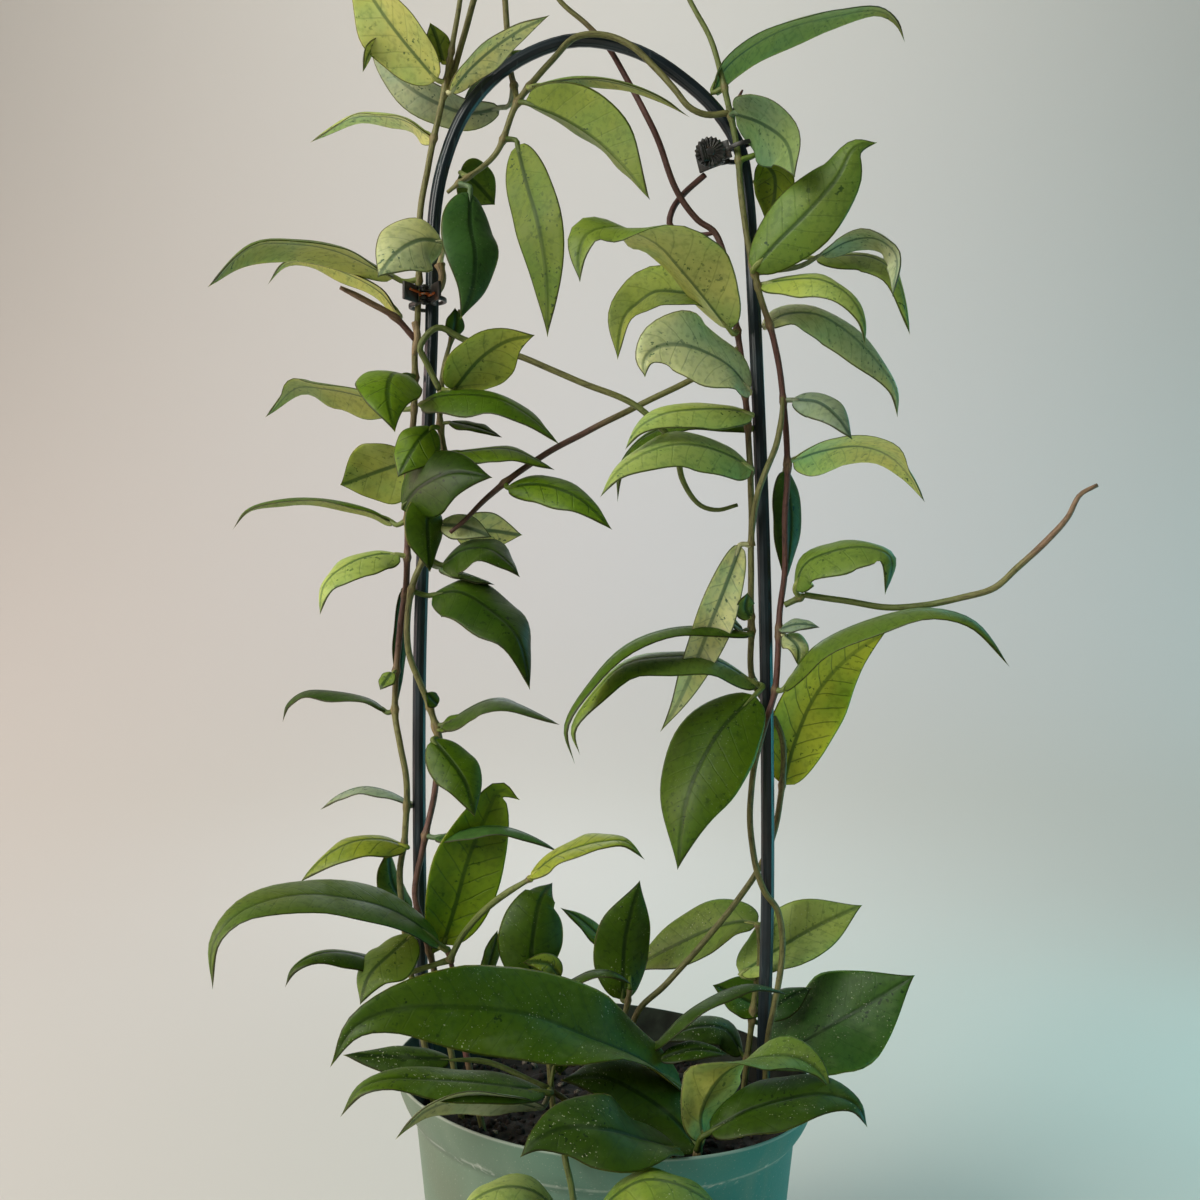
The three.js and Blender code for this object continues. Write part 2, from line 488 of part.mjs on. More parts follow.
        wide: 31, up: 66, fold: 0 },
      { path: [[-85, 158, 16], [-94, 164, 20], [-107, 167, 25], [-118, 165, 30], [-125, 160, 33],
        [-128, 153, 34]], wide: 17, up: 68 },
      { path: [[-77, 174, 18], [-85, 167, 25], [-94, 158, 31], [-98, 146, 36]], wide: 23, up: 42 },
      { path: [[-30, 197, 44], [-20, 205, 46], [-10, 209, 50], [-1, 211, 52], [8, 211, 54],
        [16, 204, 56]], wide: 20, up: 70, fold: 0 },
      { path: [[-48, 158, 12], [-45, 168, 9], [-43, 176, 6]], wide: 10, up: 50 },
    ],
  },
  middle_shoot: {
    stems: [
      [[-20, 93, 8], [-22, 120, 7], [-24, 140, 7], [-26, 156, 7]],
      [[-22, 118, 7], [-14, 125, 5], [1, 134, 1], [8, 143, -3], [10, 152, -4]],
    ],
    leaves: [
      { path: [[-30, 154, 9], [-29, 172, 10], [-26, 188, 4], [-21, 195, -6]], wide: 27, up: 12 },
      { path: [[-18, 157, 12], [-22, 162, 15], [-27, 163, 17], [-33, 163, 19]], wide: 9, up: 20 },
      { path: [[5, 166, -14], [-2, 173, -15], [-10, 180, -16], [-18, 185, -17]], wide: 12, up: 55 },
      { path: [[7, 148, -6], [8, 172, -10], [14, 196, -8]], wide: 25, up: 20 },
      { path: [[-15, 155, 8], [-6, 159, 12], [3, 159, 16], [11, 154, 18]], wide: 13, up: 76 },
    ],
  },
  right_base_shoot: {
    stems: [[[54, 100, -12], [57, 125, -12], [60, 150, -12], [62, 165, -11], [61, 178, -10]]],
    leaves: [
      { path: [[61, 178, -11], [54, 179, -16], [42, 176, -24], [29, 170, -32], [16, 163, -39],
        [9, 158, -42]], wide: 27, up: 40, fold: 7 },
      { path: [[54, 158, -12], [69, 168, -15], [84, 177, -19], [103, 186, -22]],
        wide: 31, up: [48, 48, 39, 20, 13, 13], fold: [9, 9, 14, 18, 10, 10] },
      { path: [[62, 122, -11], [81, 132, -12], [103, 145, -10], [124, 158, -8]],
        wide: 45, up: [54, 54, 38, 11, 3, 3], fold: [8, 8, 3, -8, 0, 0] },
      { path: [[64, 144, -15], [56, 148, -17], [43, 154, -19]], wide: 19, up: 30, fold: 11 },
      { path: [[55, 126, -13], [48, 136, -14], [36, 137, -12], [21, 131, -10]], wide: 18, up: 48 },
      { path: [[64, 141, -18], [72, 148, -20], [83, 153, -22]], wide: 14, up: 30 },
    ],
  },
  front_shoot: {
    stems: [
      [[8, 80, 34], [17, 90, 35], [26, 99, 35], [31, 108, 34]],
      [[8, 80, 34], [-4, 96, 42], [-16, 108, 52], [-22, 112, 58]],
    ],
    leaves: [
      { path: [[31, 112, 34], [14, 124, 42], [-7, 133, 52], [-30, 142, 61], [-58, 145, 71],
        [-83, 144, 77], [-100, 137, 81], [-110, 121, 82]],
        wide: 36, up: [66, 66, 51, 34, 24, 3, 10, 10], fold: [19, 19, 31, 8, -2, 0, 8, 8] },
      { path: [[-24, 111, 64], [-37, 113, 70], [-54, 115, 76], [-72, 116, 81], [-88, 116, 85],
        [-98, 112, 87], [-106, 101, 88]], wide: 22, up: 60, fold: -5 },
      { path: [[-25, 105, 62], [-37, 108, 70], [-50, 109, 78], [-62, 108, 85], [-72, 104, 89],
        [-79, 98, 91], [-84, 92, 92]], wide: 18, up: 114 },
      { path: [[-19, 129, 50], [-18, 123, 52], [-18, 118, 54]], wide: 9, up: 20 },
      { path: [[-62, 124, 52], [-83, 125, 54], [-105, 126, 56]], wide: 14, up: 40 },
      { path: [[18, 128, 30], [36, 145, 28], [57, 154, 27], [74, 150, 26]], wide: 20, up: 81 },
      { path: [[22, 124, 34], [36, 128, 34], [50, 126, 34]], wide: 11, up: 50 },
    ],
  },
  rim_shoot: {
    stems: [
      [[34, 70, 54], [36, 80, 57], [37, 88, 60]],
      [[34, 70, 54], [30, 80, 62], [27, 88, 68]],
    ],
    leaves: [
      { path: [[39, 92, 58], [38, 102, 58], [42, 112, 57], [50, 121, 57], [63, 125, 56],
        [76, 125, 56], [85, 120, 57], [91, 111, 60]],
        wide: 26, up: [133, 133, 138, 105, 73, 46, 33, 33], fold: [-2, -2, 10, -10, -2, 13, 14, 14] },
      { path: [[42, 95, 64], [56, 103, 64], [72, 108, 64], [88, 110, 63], [100, 106, 65],
        [105, 97, 66]], wide: 26, up: 48, fold: -1 },
      { path: [[29, 88, 75], [15, 92, 83], [1, 96, 89], [-15, 97, 93], [-27, 92, 97],
        [-34, 85, 101]], wide: 31, up: [72, 72, 49, 33, 25, 25], fold: [9, 9, 3, -10, -11, -11] },
      { path: [[38, 88, 56], [27, 101, 50], [13, 111, 48], [-1, 117, 51], [-18, 116, 57]],
        wide: 29, up: 34 },
    ],
  },
  trailing_stem: {
    stems: [[[-14, 68, 62], [-14, 81, 70], [-15, 91, 78], [-16, 90, 84], [-16, 85, 88.5], [-14, 76, 91],
      [-12, 64, 93], [-9, 50, 93]]],
    radius: 1.2,
    leaves: [
      { path: [[-18, 62, 98], [-28, 71, 101], [-40, 73, 105], [-52, 68, 109], [-62, 56, 112]],
        wide: 27, up: 62 },
      { path: [[-3, 62, 98], [6, 71, 101], [17, 76, 104], [34, 72, 109], [52, 58, 114]],
        wide: 27, up: 62 },
      { path: [[-9, 48, 96], [-7, 42, 98], [-6, 34, 99]], wide: 8, up: 40 },
    ],
  },
};

for (const [name, vine] of Object.entries(VINES)) addPart(name, vineSolid(vine), GREEN);

// Soil: potting mix with a lumpy top and a plain hole for each foot and stem.
function soilTop(x, y) {
  const lumps = Math.sin(0.23 * x + 1) * Math.cos(0.19 * y) + 0.6 * Math.sin(0.41 * y - 0.3 * x);
  return SOIL_TOP + 1.1 * lumps;
}

function buildSoil() {
  const sides = 24;
  const rims = [0, 0.5, 1];
  const wallAt = (z) => potRadius(z) - POT_WALL - FIT_GAP - 0.5;
  const profile = [new THREE.Vector2(0, SOIL_FLOOR + 1), new THREE.Vector2(wallAt(5), SOIL_FLOOR + 1)];
  for (const share of [...rims].reverse()) {
    profile.push(new THREE.Vector2(share * wallAt(SOIL_TOP - 4), share === 1 ? SOIL_TOP - 4 : SOIL_TOP));
  }
  const heap = new THREE.LatheGeometry(profile, sides).rotateX(Math.PI / 2);
  const places = heap.attributes.position;
  for (let i = 0; i < places.count; i += 1) {
    if (places.getZ(i) < SOIL_TOP - 10) continue;
    const rise = soilTop(places.getX(i), places.getY(i)) - SOIL_TOP;
    places.setZ(i, places.getZ(i) + rise);
  }
  let soil = solidOf(leaned(heap));
  soil = soil.subtract(hoopRod(HOOP_RADIUS + FIT_GAP));
  for (const { stems, radius = VINE_RADIUS } of Object.values(VINES)) {
    for (const stem of stems) {
      const foot = seen(stem[0]);
      if (foot.z > SOIL_TOP) continue;
      const next = seen(stem[1]);
      const below = foot.clone().lerp(next, -FIT_GAP / foot.distanceTo(next));
      soil = soil.subtract(rod([below, next], radius + 2 * FIT_GAP, 5, 60));
    }
  }
  return addPart("soil", soil, SOIL_MIX);
}

// Spring clip: two jaws on one pin, closed round the hoop and a vine by a wound spring.
// Its own frame: claws towards +X, pin along Z, front jaw on the -Y side.
const CLAW_RADIUS = 6.3;
const CLAW_THICK = 1.3;
const CLAW_MIDDLE = 9.5;
const CLIP_HEIGHT = 7;
const PIN_RADIUS = 0.8;

function ribbon(points, thick, height, level) {
  const left = [];
  const right = [];
  points.forEach(([x, y], i) => {
    const [ax, ay] = points[Math.max(0, i - 1)];
    const [bx, by] = points[Math.min(points.length - 1, i + 1)];
    const run = Math.hypot(bx - ax, by - ay);
    const across = [(-(by - ay) / run) * (thick / 2), ((bx - ax) / run) * (thick / 2)];
    left.push(new THREE.Vector2(x + across[0], y + across[1]));
    right.unshift(new THREE.Vector2(x - across[0], y - across[1]));
  });
  const flat = new THREE.Shape([...left, ...right]);
  const band = new THREE.ExtrudeGeometry(flat, { depth: height, bevelEnabled: false, steps: 1 });
  return solidOf(band.translate(0, 0, level));
}

function jaw(side, daisy) {
  const claw = [];
  const steps = 3;
  for (let step = 0; step <= steps; step += 1) {
    const angle = THREE.MathUtils.degToRad(148 - (step / steps) * (148 - 8));
    claw.push([
      CLAW_MIDDLE + (CLAW_RADIUS + CLAW_THICK / 2) * Math.cos(angle),
      side * (CLAW_RADIUS + CLAW_THICK / 2) * Math.sin(angle),
    ]);
  }
  const solids = [];
  const teeth = side > 0 ? [-3.4, 1.9] : [-0.75];
  for (const level of teeth) solids.push(ribbon([[0.6, side * 3], ...claw], CLAW_THICK, 1.5, level));
  const lever = [[4.3, side * 3.7], [0.6, side * 3], [-3, side * 4.2], [-8, side * 7]];
  solids.push(ribbon(lever, 1.2, CLIP_HEIGHT, -CLIP_HEIGHT / 2));
  const earLevels = side > 0 ? [-CLIP_HEIGHT / 2, CLIP_HEIGHT / 2 - 1] : [-2.1, 1.1];
  for (const level of earLevels) {
    solids.push(ribbon([[0.4, side * 3], [0.2, side * -1.2]], 2.8, 1, level));
  }
  if (daisy) {
    const petals = 9;
    const outline = [];
    for (let i = 0; i < 2 * petals; i += 1) {
      const angle = (i / petals) * Math.PI;
      const reach = i % 2 ? 5.1 : 6.1;
      outline.push(new THREE.Vector2(reach * Math.cos(angle), reach * Math.sin(angle)));
    }
    const disc = new THREE.ExtrudeGeometry(new THREE.Shape(outline), { depth: 1.6, bevelEnabled: false });
    disc.rotateX(Math.PI / 2).translate(-4, side * 5.4 + 0.6, 0);
    solids.push(solidOf(disc));
  }
  const pin = new THREE.CylinderGeometry(PIN_RADIUS, PIN_RADIUS, CLIP_HEIGHT + 1, 6).rotateX(Math.PI / 2);
  const bore = new THREE.CylinderGeometry(PIN_RADIUS + FIT_GAP, PIN_RADIUS + FIT_GAP, CLIP_HEIGHT + 4, 6);
  const whole = joined(solids);
  if (side > 0) return whole.add(solidOf(pin));
  return whole.subtract(solidOf(bore.rotateX(Math.PI / 2)));
}

function springSolid() {
  const coils = 2;
  const wire = 0.45;
  const profile = [];
  for (let step = 0; step <= 4 * coils; step += 1) {
    const level = (step / (4 * coils) - 0.5) * (2 * coils * wire);
    profile.push(new THREE.Vector2(1.75 + wire * Math.cos((step * Math.PI) / 2), level));
  }
  profile.push(new THREE.Vector2(PIN_RADIUS + FIT_GAP, coils * wire));
  profile.push(new THREE.Vector2(PIN_RADIUS + FIT_GAP, -coils * wire));
  profile.push(profile[0].clone());
  return solidOf(new THREE.LatheGeometry(profile, 6).rotateX(Math.PI / 2));
}

function buildClip(name, place, turn, lean, daisy) {
  const clip = new THREE.Group();
  clip.position.set(...place);
  clip.rotation.set(0, THREE.MathUtils.degToRad(lean), THREE.MathUtils.degToRad(turn), "ZYX");
  clip.add(addPart(name + "_front_jaw", jaw(-1, daisy), CLIP_PLASTIC));
  clip.add(addPart(name + "_back_jaw", jaw(1, false), CLIP_PLASTIC));
  clip.add(addPart(name + "_spring", springSolid(), SPRING_STEEL));
  part.add(clip);
}

buildPot();
buildSoil();
addPart("hoop", hoopRod(HOOP_RADIUS), HOOP_PLASTIC);
buildClip("right_clip", [45.3, -2.4, 485.5], 0, -14, true);
buildClip("left_clip", [-71, -9, 428], 90, 0, false);

export default part;
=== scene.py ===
import random
from bisect import bisect
from math import atan2, cos, hypot, pi, radians, sin, tan

import bmesh
import bpy
from mathutils import Matrix, Vector, noise


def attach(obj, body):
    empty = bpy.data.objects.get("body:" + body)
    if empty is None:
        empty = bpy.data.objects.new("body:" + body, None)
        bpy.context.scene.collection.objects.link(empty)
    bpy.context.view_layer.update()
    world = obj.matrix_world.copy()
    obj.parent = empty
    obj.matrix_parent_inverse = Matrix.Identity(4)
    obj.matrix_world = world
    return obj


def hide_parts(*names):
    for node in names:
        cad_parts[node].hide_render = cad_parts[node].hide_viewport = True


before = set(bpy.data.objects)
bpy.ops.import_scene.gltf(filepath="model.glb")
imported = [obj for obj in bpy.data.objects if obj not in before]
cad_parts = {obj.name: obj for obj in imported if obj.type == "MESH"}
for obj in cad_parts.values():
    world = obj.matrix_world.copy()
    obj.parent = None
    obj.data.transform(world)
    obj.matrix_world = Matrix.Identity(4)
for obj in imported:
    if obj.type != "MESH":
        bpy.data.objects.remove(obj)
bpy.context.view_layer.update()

# A potted hoya on a plastic hoop. Its pieces are shaped in millimetres from the middle of the pot's
# base, and add_piece turns them into metres. The studio and the materials are in metres. The front
# looks along -Y.

# Camera: level, close in front of the upper half of the plant, so leaves above it show their
# undersides and leaves below it show their upper sides, and the pot is cut off by the frame.
MM = 0.001
EYE = Vector((-2, -510, 308))
VIEW_WIDTH = 480

camera = bpy.data.objects.new("camera", bpy.data.cameras.new("camera"))
bpy.context.scene.collection.objects.link(camera)
camera.location = EYE * MM
camera.rotation_euler = (radians(90), 0, 0)
camera.data.lens = camera.data.sensor_width * -EYE.y / VIEW_WIDTH
camera.data.clip_start = 0.02
bpy.context.scene.camera = camera

# Studio: one pale sheet that is floor and back wall in one, bent up in a wide curve far behind
# the plant. Warm light comes from the left and cool light from low on the right. The floor and wall
# lamps stand beside and behind the plant and light the sheet.
bpy.context.scene.view_settings.view_transform = "Standard"


def light_value(level):
    """A screen level from 0 to 255 as the amount of light it stands for."""
    share = level / 255
    return share / 12.92 if share < 0.04 else ((share + 0.055) / 1.055) ** 2.4


def colour(red, green, blue):
    return (light_value(red), light_value(green), light_value(blue), 1)


def add_lamp(name, place, aim, size, power, tint):
    lamp = bpy.data.objects.new(name, bpy.data.lights.new(name, "AREA"))
    bpy.context.scene.collection.objects.link(lamp)
    lamp.location = Vector(place)
    lamp.rotation_mode = "QUATERNION"
    lamp.rotation_quaternion = (Vector(aim) - Vector(place)).to_track_quat("-Z", "Y")
    lamp.data.size = size
    lamp.data.energy = power
    lamp.data.color = colour(*tint)[:3]
    lamp.visible_camera = False


SHEET_WIDTH = 7.0
SHEET_FRONT = -2.4
SHEET_BACK = 2.6
SHEET_TOP = 3.4
SHEET_CURVE = 2.0
FLOOR_DROP = -0.0006

sheet = bmesh.new()
corners = [(SHEET_FRONT, FLOOR_DROP), (SHEET_BACK, FLOOR_DROP), (SHEET_BACK, SHEET_TOP)]
line = [sheet.verts.new((-SHEET_WIDTH / 2, y, z)) for y, z in corners]
for near, far in zip(line, line[1:]):
    sheet.edges.new((near, far))
bmesh.ops.bevel(sheet, geom=[line[1]], offset=SHEET_CURVE, segments=16, profile=0.5,
                affect="VERTICES", material=-1)
swept = bmesh.ops.extrude_edge_only(sheet, edges=sheet.edges)["geom"]
bmesh.ops.translate(sheet, vec=(SHEET_WIDTH, 0, 0),
                    verts=[part for part in swept if isinstance(part, bmesh.types.BMVert)])
bmesh.ops.recalc_face_normals(sheet, faces=sheet.faces)
for face in sheet.faces:
    face.smooth = True
backdrop = bpy.data.objects.new("backdrop", bpy.data.meshes.new("backdrop"))
sheet.to_mesh(backdrop.data)
sheet.free()
bpy.context.scene.collection.objects.link(backdrop)
paper = bpy.data.materials.new("pale_backdrop")
paper.use_nodes = True
paper_shader = paper.node_tree.nodes["Principled BSDF"]
paper_shader.inputs["Base Color"].default_value = colour(214, 212, 206)
paper_shader.inputs["Roughness"].default_value = 0.9
backdrop.data.materials.append(paper)

room = bpy.data.worlds.new("room")
room.use_nodes = True
air = room.node_tree.nodes["Background"]
air.inputs["Color"].default_value = colour(245, 255, 245)
air.inputs["Strength"].default_value = 0.07
bpy.context.scene.world = room

add_lamp("window", (-1.5, -1.3, 1.5), (0, 0, 0.35), 1.4, 50, (255, 254, 246))
add_lamp("warm_side", (-1.9, -0.1, 0.8), (0, 0, 0.3), 1.2, 21, (255, 218, 212))
add_lamp("cool_corner", (0.9, 0.1, 0.1), (0.1, 0.02, 0.06), 0.4, 2.6, (90, 232, 245))
add_lamp("floor_glow", (-0.05, 0.8, 0.5), (-0.05, 0.75, 0), 0.25, 0.8, (225, 240, 255))
add_lamp("floor_right", (0.4, 0.3, 0.5), (0.5, 0.3, 0), 0.4, 0.9, (100, 232, 242))
add_lamp("wall_centre", (0.1, 1.1, 1.1), (0.1, 2.6, 1.1), 0.8, 2.6, (190, 206, 255))
add_lamp("wall_top", (0, 0.9, 2.8), (0, 2.6, 1.9), 1.4, 22, (255, 254, 246))
add_lamp("wall_left", (-1.6, 0.7, 1.4), (-1.3, 2.6, 1.3), 1.2, 3, (255, 170, 130))
add_lamp("wall_right", (1.6, 0.7, 0.8), (1.3, 2.6, 0.6), 1.2, 5.6, (90, 229, 255))

# Pot: a soft nursery pot blown from thin sage-green plastic, with a rolled rim band, drain holes
# and a foot ring. Handling has leaned its rim down to the right and scuffed the band's lower edge.
POT_HEIGHT = 121
POT_BASE_RADIUS = 63.5
POT_TAPER = 0.11
POT_WALL = 1.4
RIM_RADIUS = 83.2
BAND_HEIGHT = 17
BAND_FOOT = POT_HEIGHT - BAND_HEIGHT
RIM_LEAN = tan(radians(4))
SOIL_TOP = 104
SOIL_FLOOR = 3
POT_FLOOR = SOIL_FLOOR + 0.6
DENT_SHARE = 0.006
DRAINS = 6
DRAIN_REACH = 42
DRAIN_RADIUS = 4


class Flow:
    """A socket of a material's nodes. Sums on flows add Math nodes; node() adds any other node."""

    def __init__(self, tree, socket=None):
        self.tree = tree
        self.socket = socket

    def node(self, kind, inputs, output=0, **settings):
        added = self.tree.nodes.new(kind)
        for name, value in settings.items():
            setattr(added, name, value)
        for key, value in inputs.items():
            if isinstance(value, Flow):
                self.tree.links.new(value.socket, added.inputs[key])
            else:
                added.inputs[key].default_value = value
        return Flow(self.tree, added.outputs[output])

    def sums(self, operation, *values):
        return self.node("ShaderNodeMath", dict(enumerate(values)), operation=operation)

    def __add__(self, other):
        return self.sums("ADD", self, other)

    def __sub__(self, other):
        return self.sums("SUBTRACT", self, other)

    def __rsub__(self, other):
        return self.sums("SUBTRACT", other, self)

    def __mul__(self, other):
        return self.sums("MULTIPLY", self, other)

    def __truediv__(self, other):
        return self.sums("DIVIDE", self, other)

    __radd__ = __add__
    __rmul__ = __mul__

    def fade(self, start, end):
        """0 below start and 1 above end, or the other way round where end is the lower."""
        limits = {"From Min": start, "From Max": end}
        return self.node("ShaderNodeMapRange", {"Value": self, **limits}, interpolation_type="SMOOTHSTEP")

    def mix(self, plain, marked):
        """The plain colour where this flow is 0 and the marked colour where it is 1."""
        return self.node("ShaderNodeMix", {0: self, 6: plain, 7: marked}, output=2, data_type="RGBA")

    def tinted(self, *shares):
        """This colour with its red, green and blue times these shares."""
        sockets = {0: 1.0, 6: self, 7: (*shares, 1)}
        return self.node("ShaderNodeMix", sockets, output=2, data_type="RGBA", blend_type="MULTIPLY")

    def stored(self, name, output="Color"):
        """What the mesh stores under this name."""
        return self.node("ShaderNodeAttribute", {}, output=output, attribute_name=name)

    def grain(self, scale, detail=2.0, stretch=(1, 1, 1)):
        """Noise around 0.5 on this place, finer as scale grows."""
        place = self.node("ShaderNodeMapping", {"Vector": self, "Scale": stretch})
        return self.node("ShaderNodeTexNoise", {"Vector": place, "Scale": scale, "Detail": detail})

    def axis(self, name):
        return self.node("ShaderNodeSeparateXYZ", {0: self}, output=name)

    def feed(self, socket):
        """Leads this flow into the material's shader."""
        shader = self.tree.nodes["Principled BSDF"]
        self.tree.links.new(self.socket, shader.inputs[socket])

    def emboss(self, distance, strength=1.0):
        """Reads this flow as relief in the surface, where 1 stands distance metres above 0."""
        height = {"Height": self, "Distance": distance, "Strength": strength}
        self.node("ShaderNodeBump", height).feed("Normal")


def new_finish(name, **constants):
    """A material with these constant values in its shader, and the place on the piece as a flow."""
    finish = bpy.data.materials.new(name)
    finish.use_nodes = True
    shader = finish.node_tree.nodes["Principled BSDF"]
    for socket, value in constants.items():
        shader.inputs[socket.replace("_", " ")].default_value = value
    return finish, Flow(finish.node_tree).node("ShaderNodeTexCoord", {}, output="Object")


def add_piece(name, shape, finishes, nodes):
    """Turns a shape in millimetres into a piece in metres that stands for some CAD nodes."""
    bmesh.ops.scale(shape, vec=(MM, MM, MM), verts=shape.verts)
    for face in shape.faces:
        face.smooth = True
    piece = bpy.data.objects.new(name, bpy.data.meshes.new(name))
    shape.to_mesh(piece.data)
    shape.free()
    bpy.context.scene.collection.objects.link(piece)
    for finish in finishes:
        piece.data.materials.append(finish)
    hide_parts(*nodes)
    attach(piece, "root")
    return piece


def pot_radius(z):
    return POT_BASE_RADIUS + POT_TAPER * z


def faces_of(verts):
    return list({face for vert in verts for face in vert.link_faces})


def lean_rim(verts):
    """Lowers the right of the rim and lifts its left, more and more with height."""
    for vert in verts:
        vert.co.z -= RIM_LEAN * vert.co.x * (vert.co.z / POT_HEIGHT) ** 3


def turned(profile, steps, rounded):
    """A closed ring shape: a line of (radius, height) turned about Z, its given corners rounded."""
    shape = bmesh.new()
    line = [shape.verts.new((r, 0, z)) for r, z in profile]
    for near, far in zip(line, line[1:]):
        shape.edges.new((near, far))
    for corner, reach in rounded.items():
        bmesh.ops.bevel(shape, geom=[line[corner]], offset=reach, segments=5, profile=0.5,
                        affect="VERTICES", material=-1)
    bmesh.ops.spin(shape, geom=shape.verts[:] + shape.edges[:], axis=(0, 0, 1), cent=(0, 0, 0),
                   angle=2 * pi, steps=steps, use_merge=True)
    bmesh.ops.remove_doubles(shape, verts=shape.verts, dist=0.001)
    bmesh.ops.recalc_face_normals(shape, faces=shape.faces)
    return shape


waist = pot_radius(BAND_FOOT)
shoulder = waist + 2.6
swell = RIM_RADIUS - 2.2
foot_ring = [(0, 0), (26, 0), (29, 2), (POT_BASE_RADIUS - 7, 2), (POT_BASE_RADIUS - 5, 0),
             (POT_BASE_RADIUS - 1.5, 0), (pot_radius(2), 2)]
outside = [(waist, BAND_FOOT), (shoulder, BAND_FOOT + 3), (swell, BAND_FOOT + 9),
           (RIM_RADIUS, POT_HEIGHT)]
inside = [(RIM_RADIUS - POT_WALL, POT_HEIGHT), (swell - POT_WALL, BAND_FOOT + 9),
          (shoulder - POT_WALL, BAND_FOOT + 3.4), (waist - POT_WALL, BAND_FOOT - 0.4),
          (pot_radius(4) - POT_WALL, POT_FLOOR), (0, POT_FLOOR)]
pot_rounding = {2: 1.0, 3: 1.0, 4: 0.8, 5: 0.7, 6: 1.0, 7: 1.2, 8: 1.6, 9: 3.5, 10: 0.65, 11: 0.65,
                12: 3.5, 13: 1.6, 14: 1.2, 15: 1.5}
pot_shape = turned(foot_ring + outside + inside, 128, pot_rounding)
lean_rim(pot_shape.verts)
for vert in pot_shape.verts:
    dent = noise.noise(vert.co * 0.016)
    vert.co.xy *= 1 + DENT_SHARE * dent * (vert.co.z / POT_HEIGHT) ** 2

pot_plastic, place = new_finish("sage_pot_plastic", Roughness=0.5, Specular_IOR_Level=0.3)
height = place.axis("Z") + place.axis("X") * (RIM_LEAN * 0.72)
rim = POT_HEIGHT * MM
# A painted highlight: a pale line along the top edge of the rim.
painted_rim_highlight = (place.axis("Z") + place.axis("X") * RIM_LEAN).fade(rim - 0.0012, rim - 0.0004)
foot = BAND_FOOT * MM
crease = height.fade(foot + 0.0022, foot + 0.0029) * height.fade(foot + 0.0042, foot + 0.0035)
crease = crease * place.grain(120, 3).fade(0.4, 0.52)
worn = height.fade(foot - 0.001, foot + 0.002) * height.fade(foot + 0.0065, foot + 0.0035)
worn = worn * place.grain(330, 4).fade(0.58, 0.68)
streaks = place.grain(60, 5, stretch=(1, 1, 0.12))
blotches = place.grain(16, 3)
dust = place.grain(1400, 1).fade(0.68, 0.76)
# Painted light: the right of the pot is painted teal for the cool light that falls on it from the right.
# This mask is 1 on the left, away from that painted light, where the pot's own sage green stands.
left_of_painted_teal_light = place.axis("X").fade(0.05, -0.06)
green = left_of_painted_teal_light.mix(colour(34, 131, 124), colour(104, 118, 98))
green = (0.5 * blotches.fade(0.3, 0.7)).mix(green, colour(104, 136, 116))
green = (0.35 * streaks.fade(0.45, 0.75)).mix(green, colour(128, 148, 128))
# Wear, the crease and the painted rim highlight all lighten the band towards one pale green.
green = (worn * 0.5 + crease * 0.35 + painted_rim_highlight * 0.4).mix(green, colour(196, 205, 194))
(dust * 0.35).mix(green, colour(190, 192, 178)).feed("Base Color")
(0.42 + 0.2 * streaks + 0.1 * worn).feed("Roughness")
(0.6 * place.grain(700, 3) + 0.6 * streaks + 0.5 * worn).emboss(0.0003, 0.5)

# Painted shade: the inside of the wall is painted a mottled, near-black green, as it stands in shade.
pot_inside, place = new_finish("pot_inside_painted_shade", Roughness=0.75, Specular_IOR_Level=0.2)
painted_shade_mottle = place.grain(90, 4)
painted_shade_mottle.fade(0.35, 0.7).mix(colour(20, 28, 22), colour(44, 56, 46)).feed("Base Color")
painted_shade_mottle.emboss(0.0003, 0.5)
# The inner faces of the wall above the pot's floor take this painted shade.
for face in pot_shape.faces:
    middle = face.calc_center_median()
    if middle.z > SOIL_FLOOR + 0.5 and face.normal.xy.dot(middle.xy) < 0:
        face.material_index = 1

drains = bmesh.new()
for drain in range(DRAINS):
    turn = 2 * pi * drain / DRAINS
    spot = Matrix.Translation((DRAIN_REACH * cos(turn), DRAIN_REACH * sin(turn), 2))
    bmesh.ops.create_cone(drains, cap_ends=True, segments=24, radius1=DRAIN_RADIUS,
                          radius2=DRAIN_RADIUS, depth=12, matrix=spot)
bmesh.ops.scale(drains, vec=(MM, MM, MM), verts=drains.verts)
drain_cutter = bpy.data.objects.new("drain_cutter", bpy.data.meshes.new("drain_cutter"))
drains.to_mesh(drain_cutter.data)
drains.free()
bpy.context.scene.collection.objects.link(drain_cutter)

pot = add_piece("nursery_pot", pot_shape, [pot_plastic, pot_inside], ["pot"])
cut = pot.modifiers.new("drains", "BOOLEAN")
cut.operation = "DIFFERENCE"
cut.object = drain_cutter
with bpy.context.temp_override(object=pot, active_object=pot, selected_objects=[pot]):
    bpy.ops.object.modifier_apply(modifier=cut.name)
bpy.data.objects.remove(drain_cutter)
pot.data.set_sharp_from_angle(angle=radians(48))

# Soil: dark, damp potting mix with bark crumbs and a few pale grains on its lumpy top, which
# leans with the pot. The stems and the hoop's feet are pushed into it.
SOIL_GAP = 0.85
SOIL_RINGS = 40
CRUMBS = 1100
PALE_SHARE = 0.05


def soil_lift(x, y):
    broad = sin(0.23 * x + 1) * cos(0.19 * y) + 0.6 * sin(0.41 * y - 0.3 * x)
    return 1.1 * broad + 1.2 * noise.noise(Vector((x, y, 0)) * 0.21)


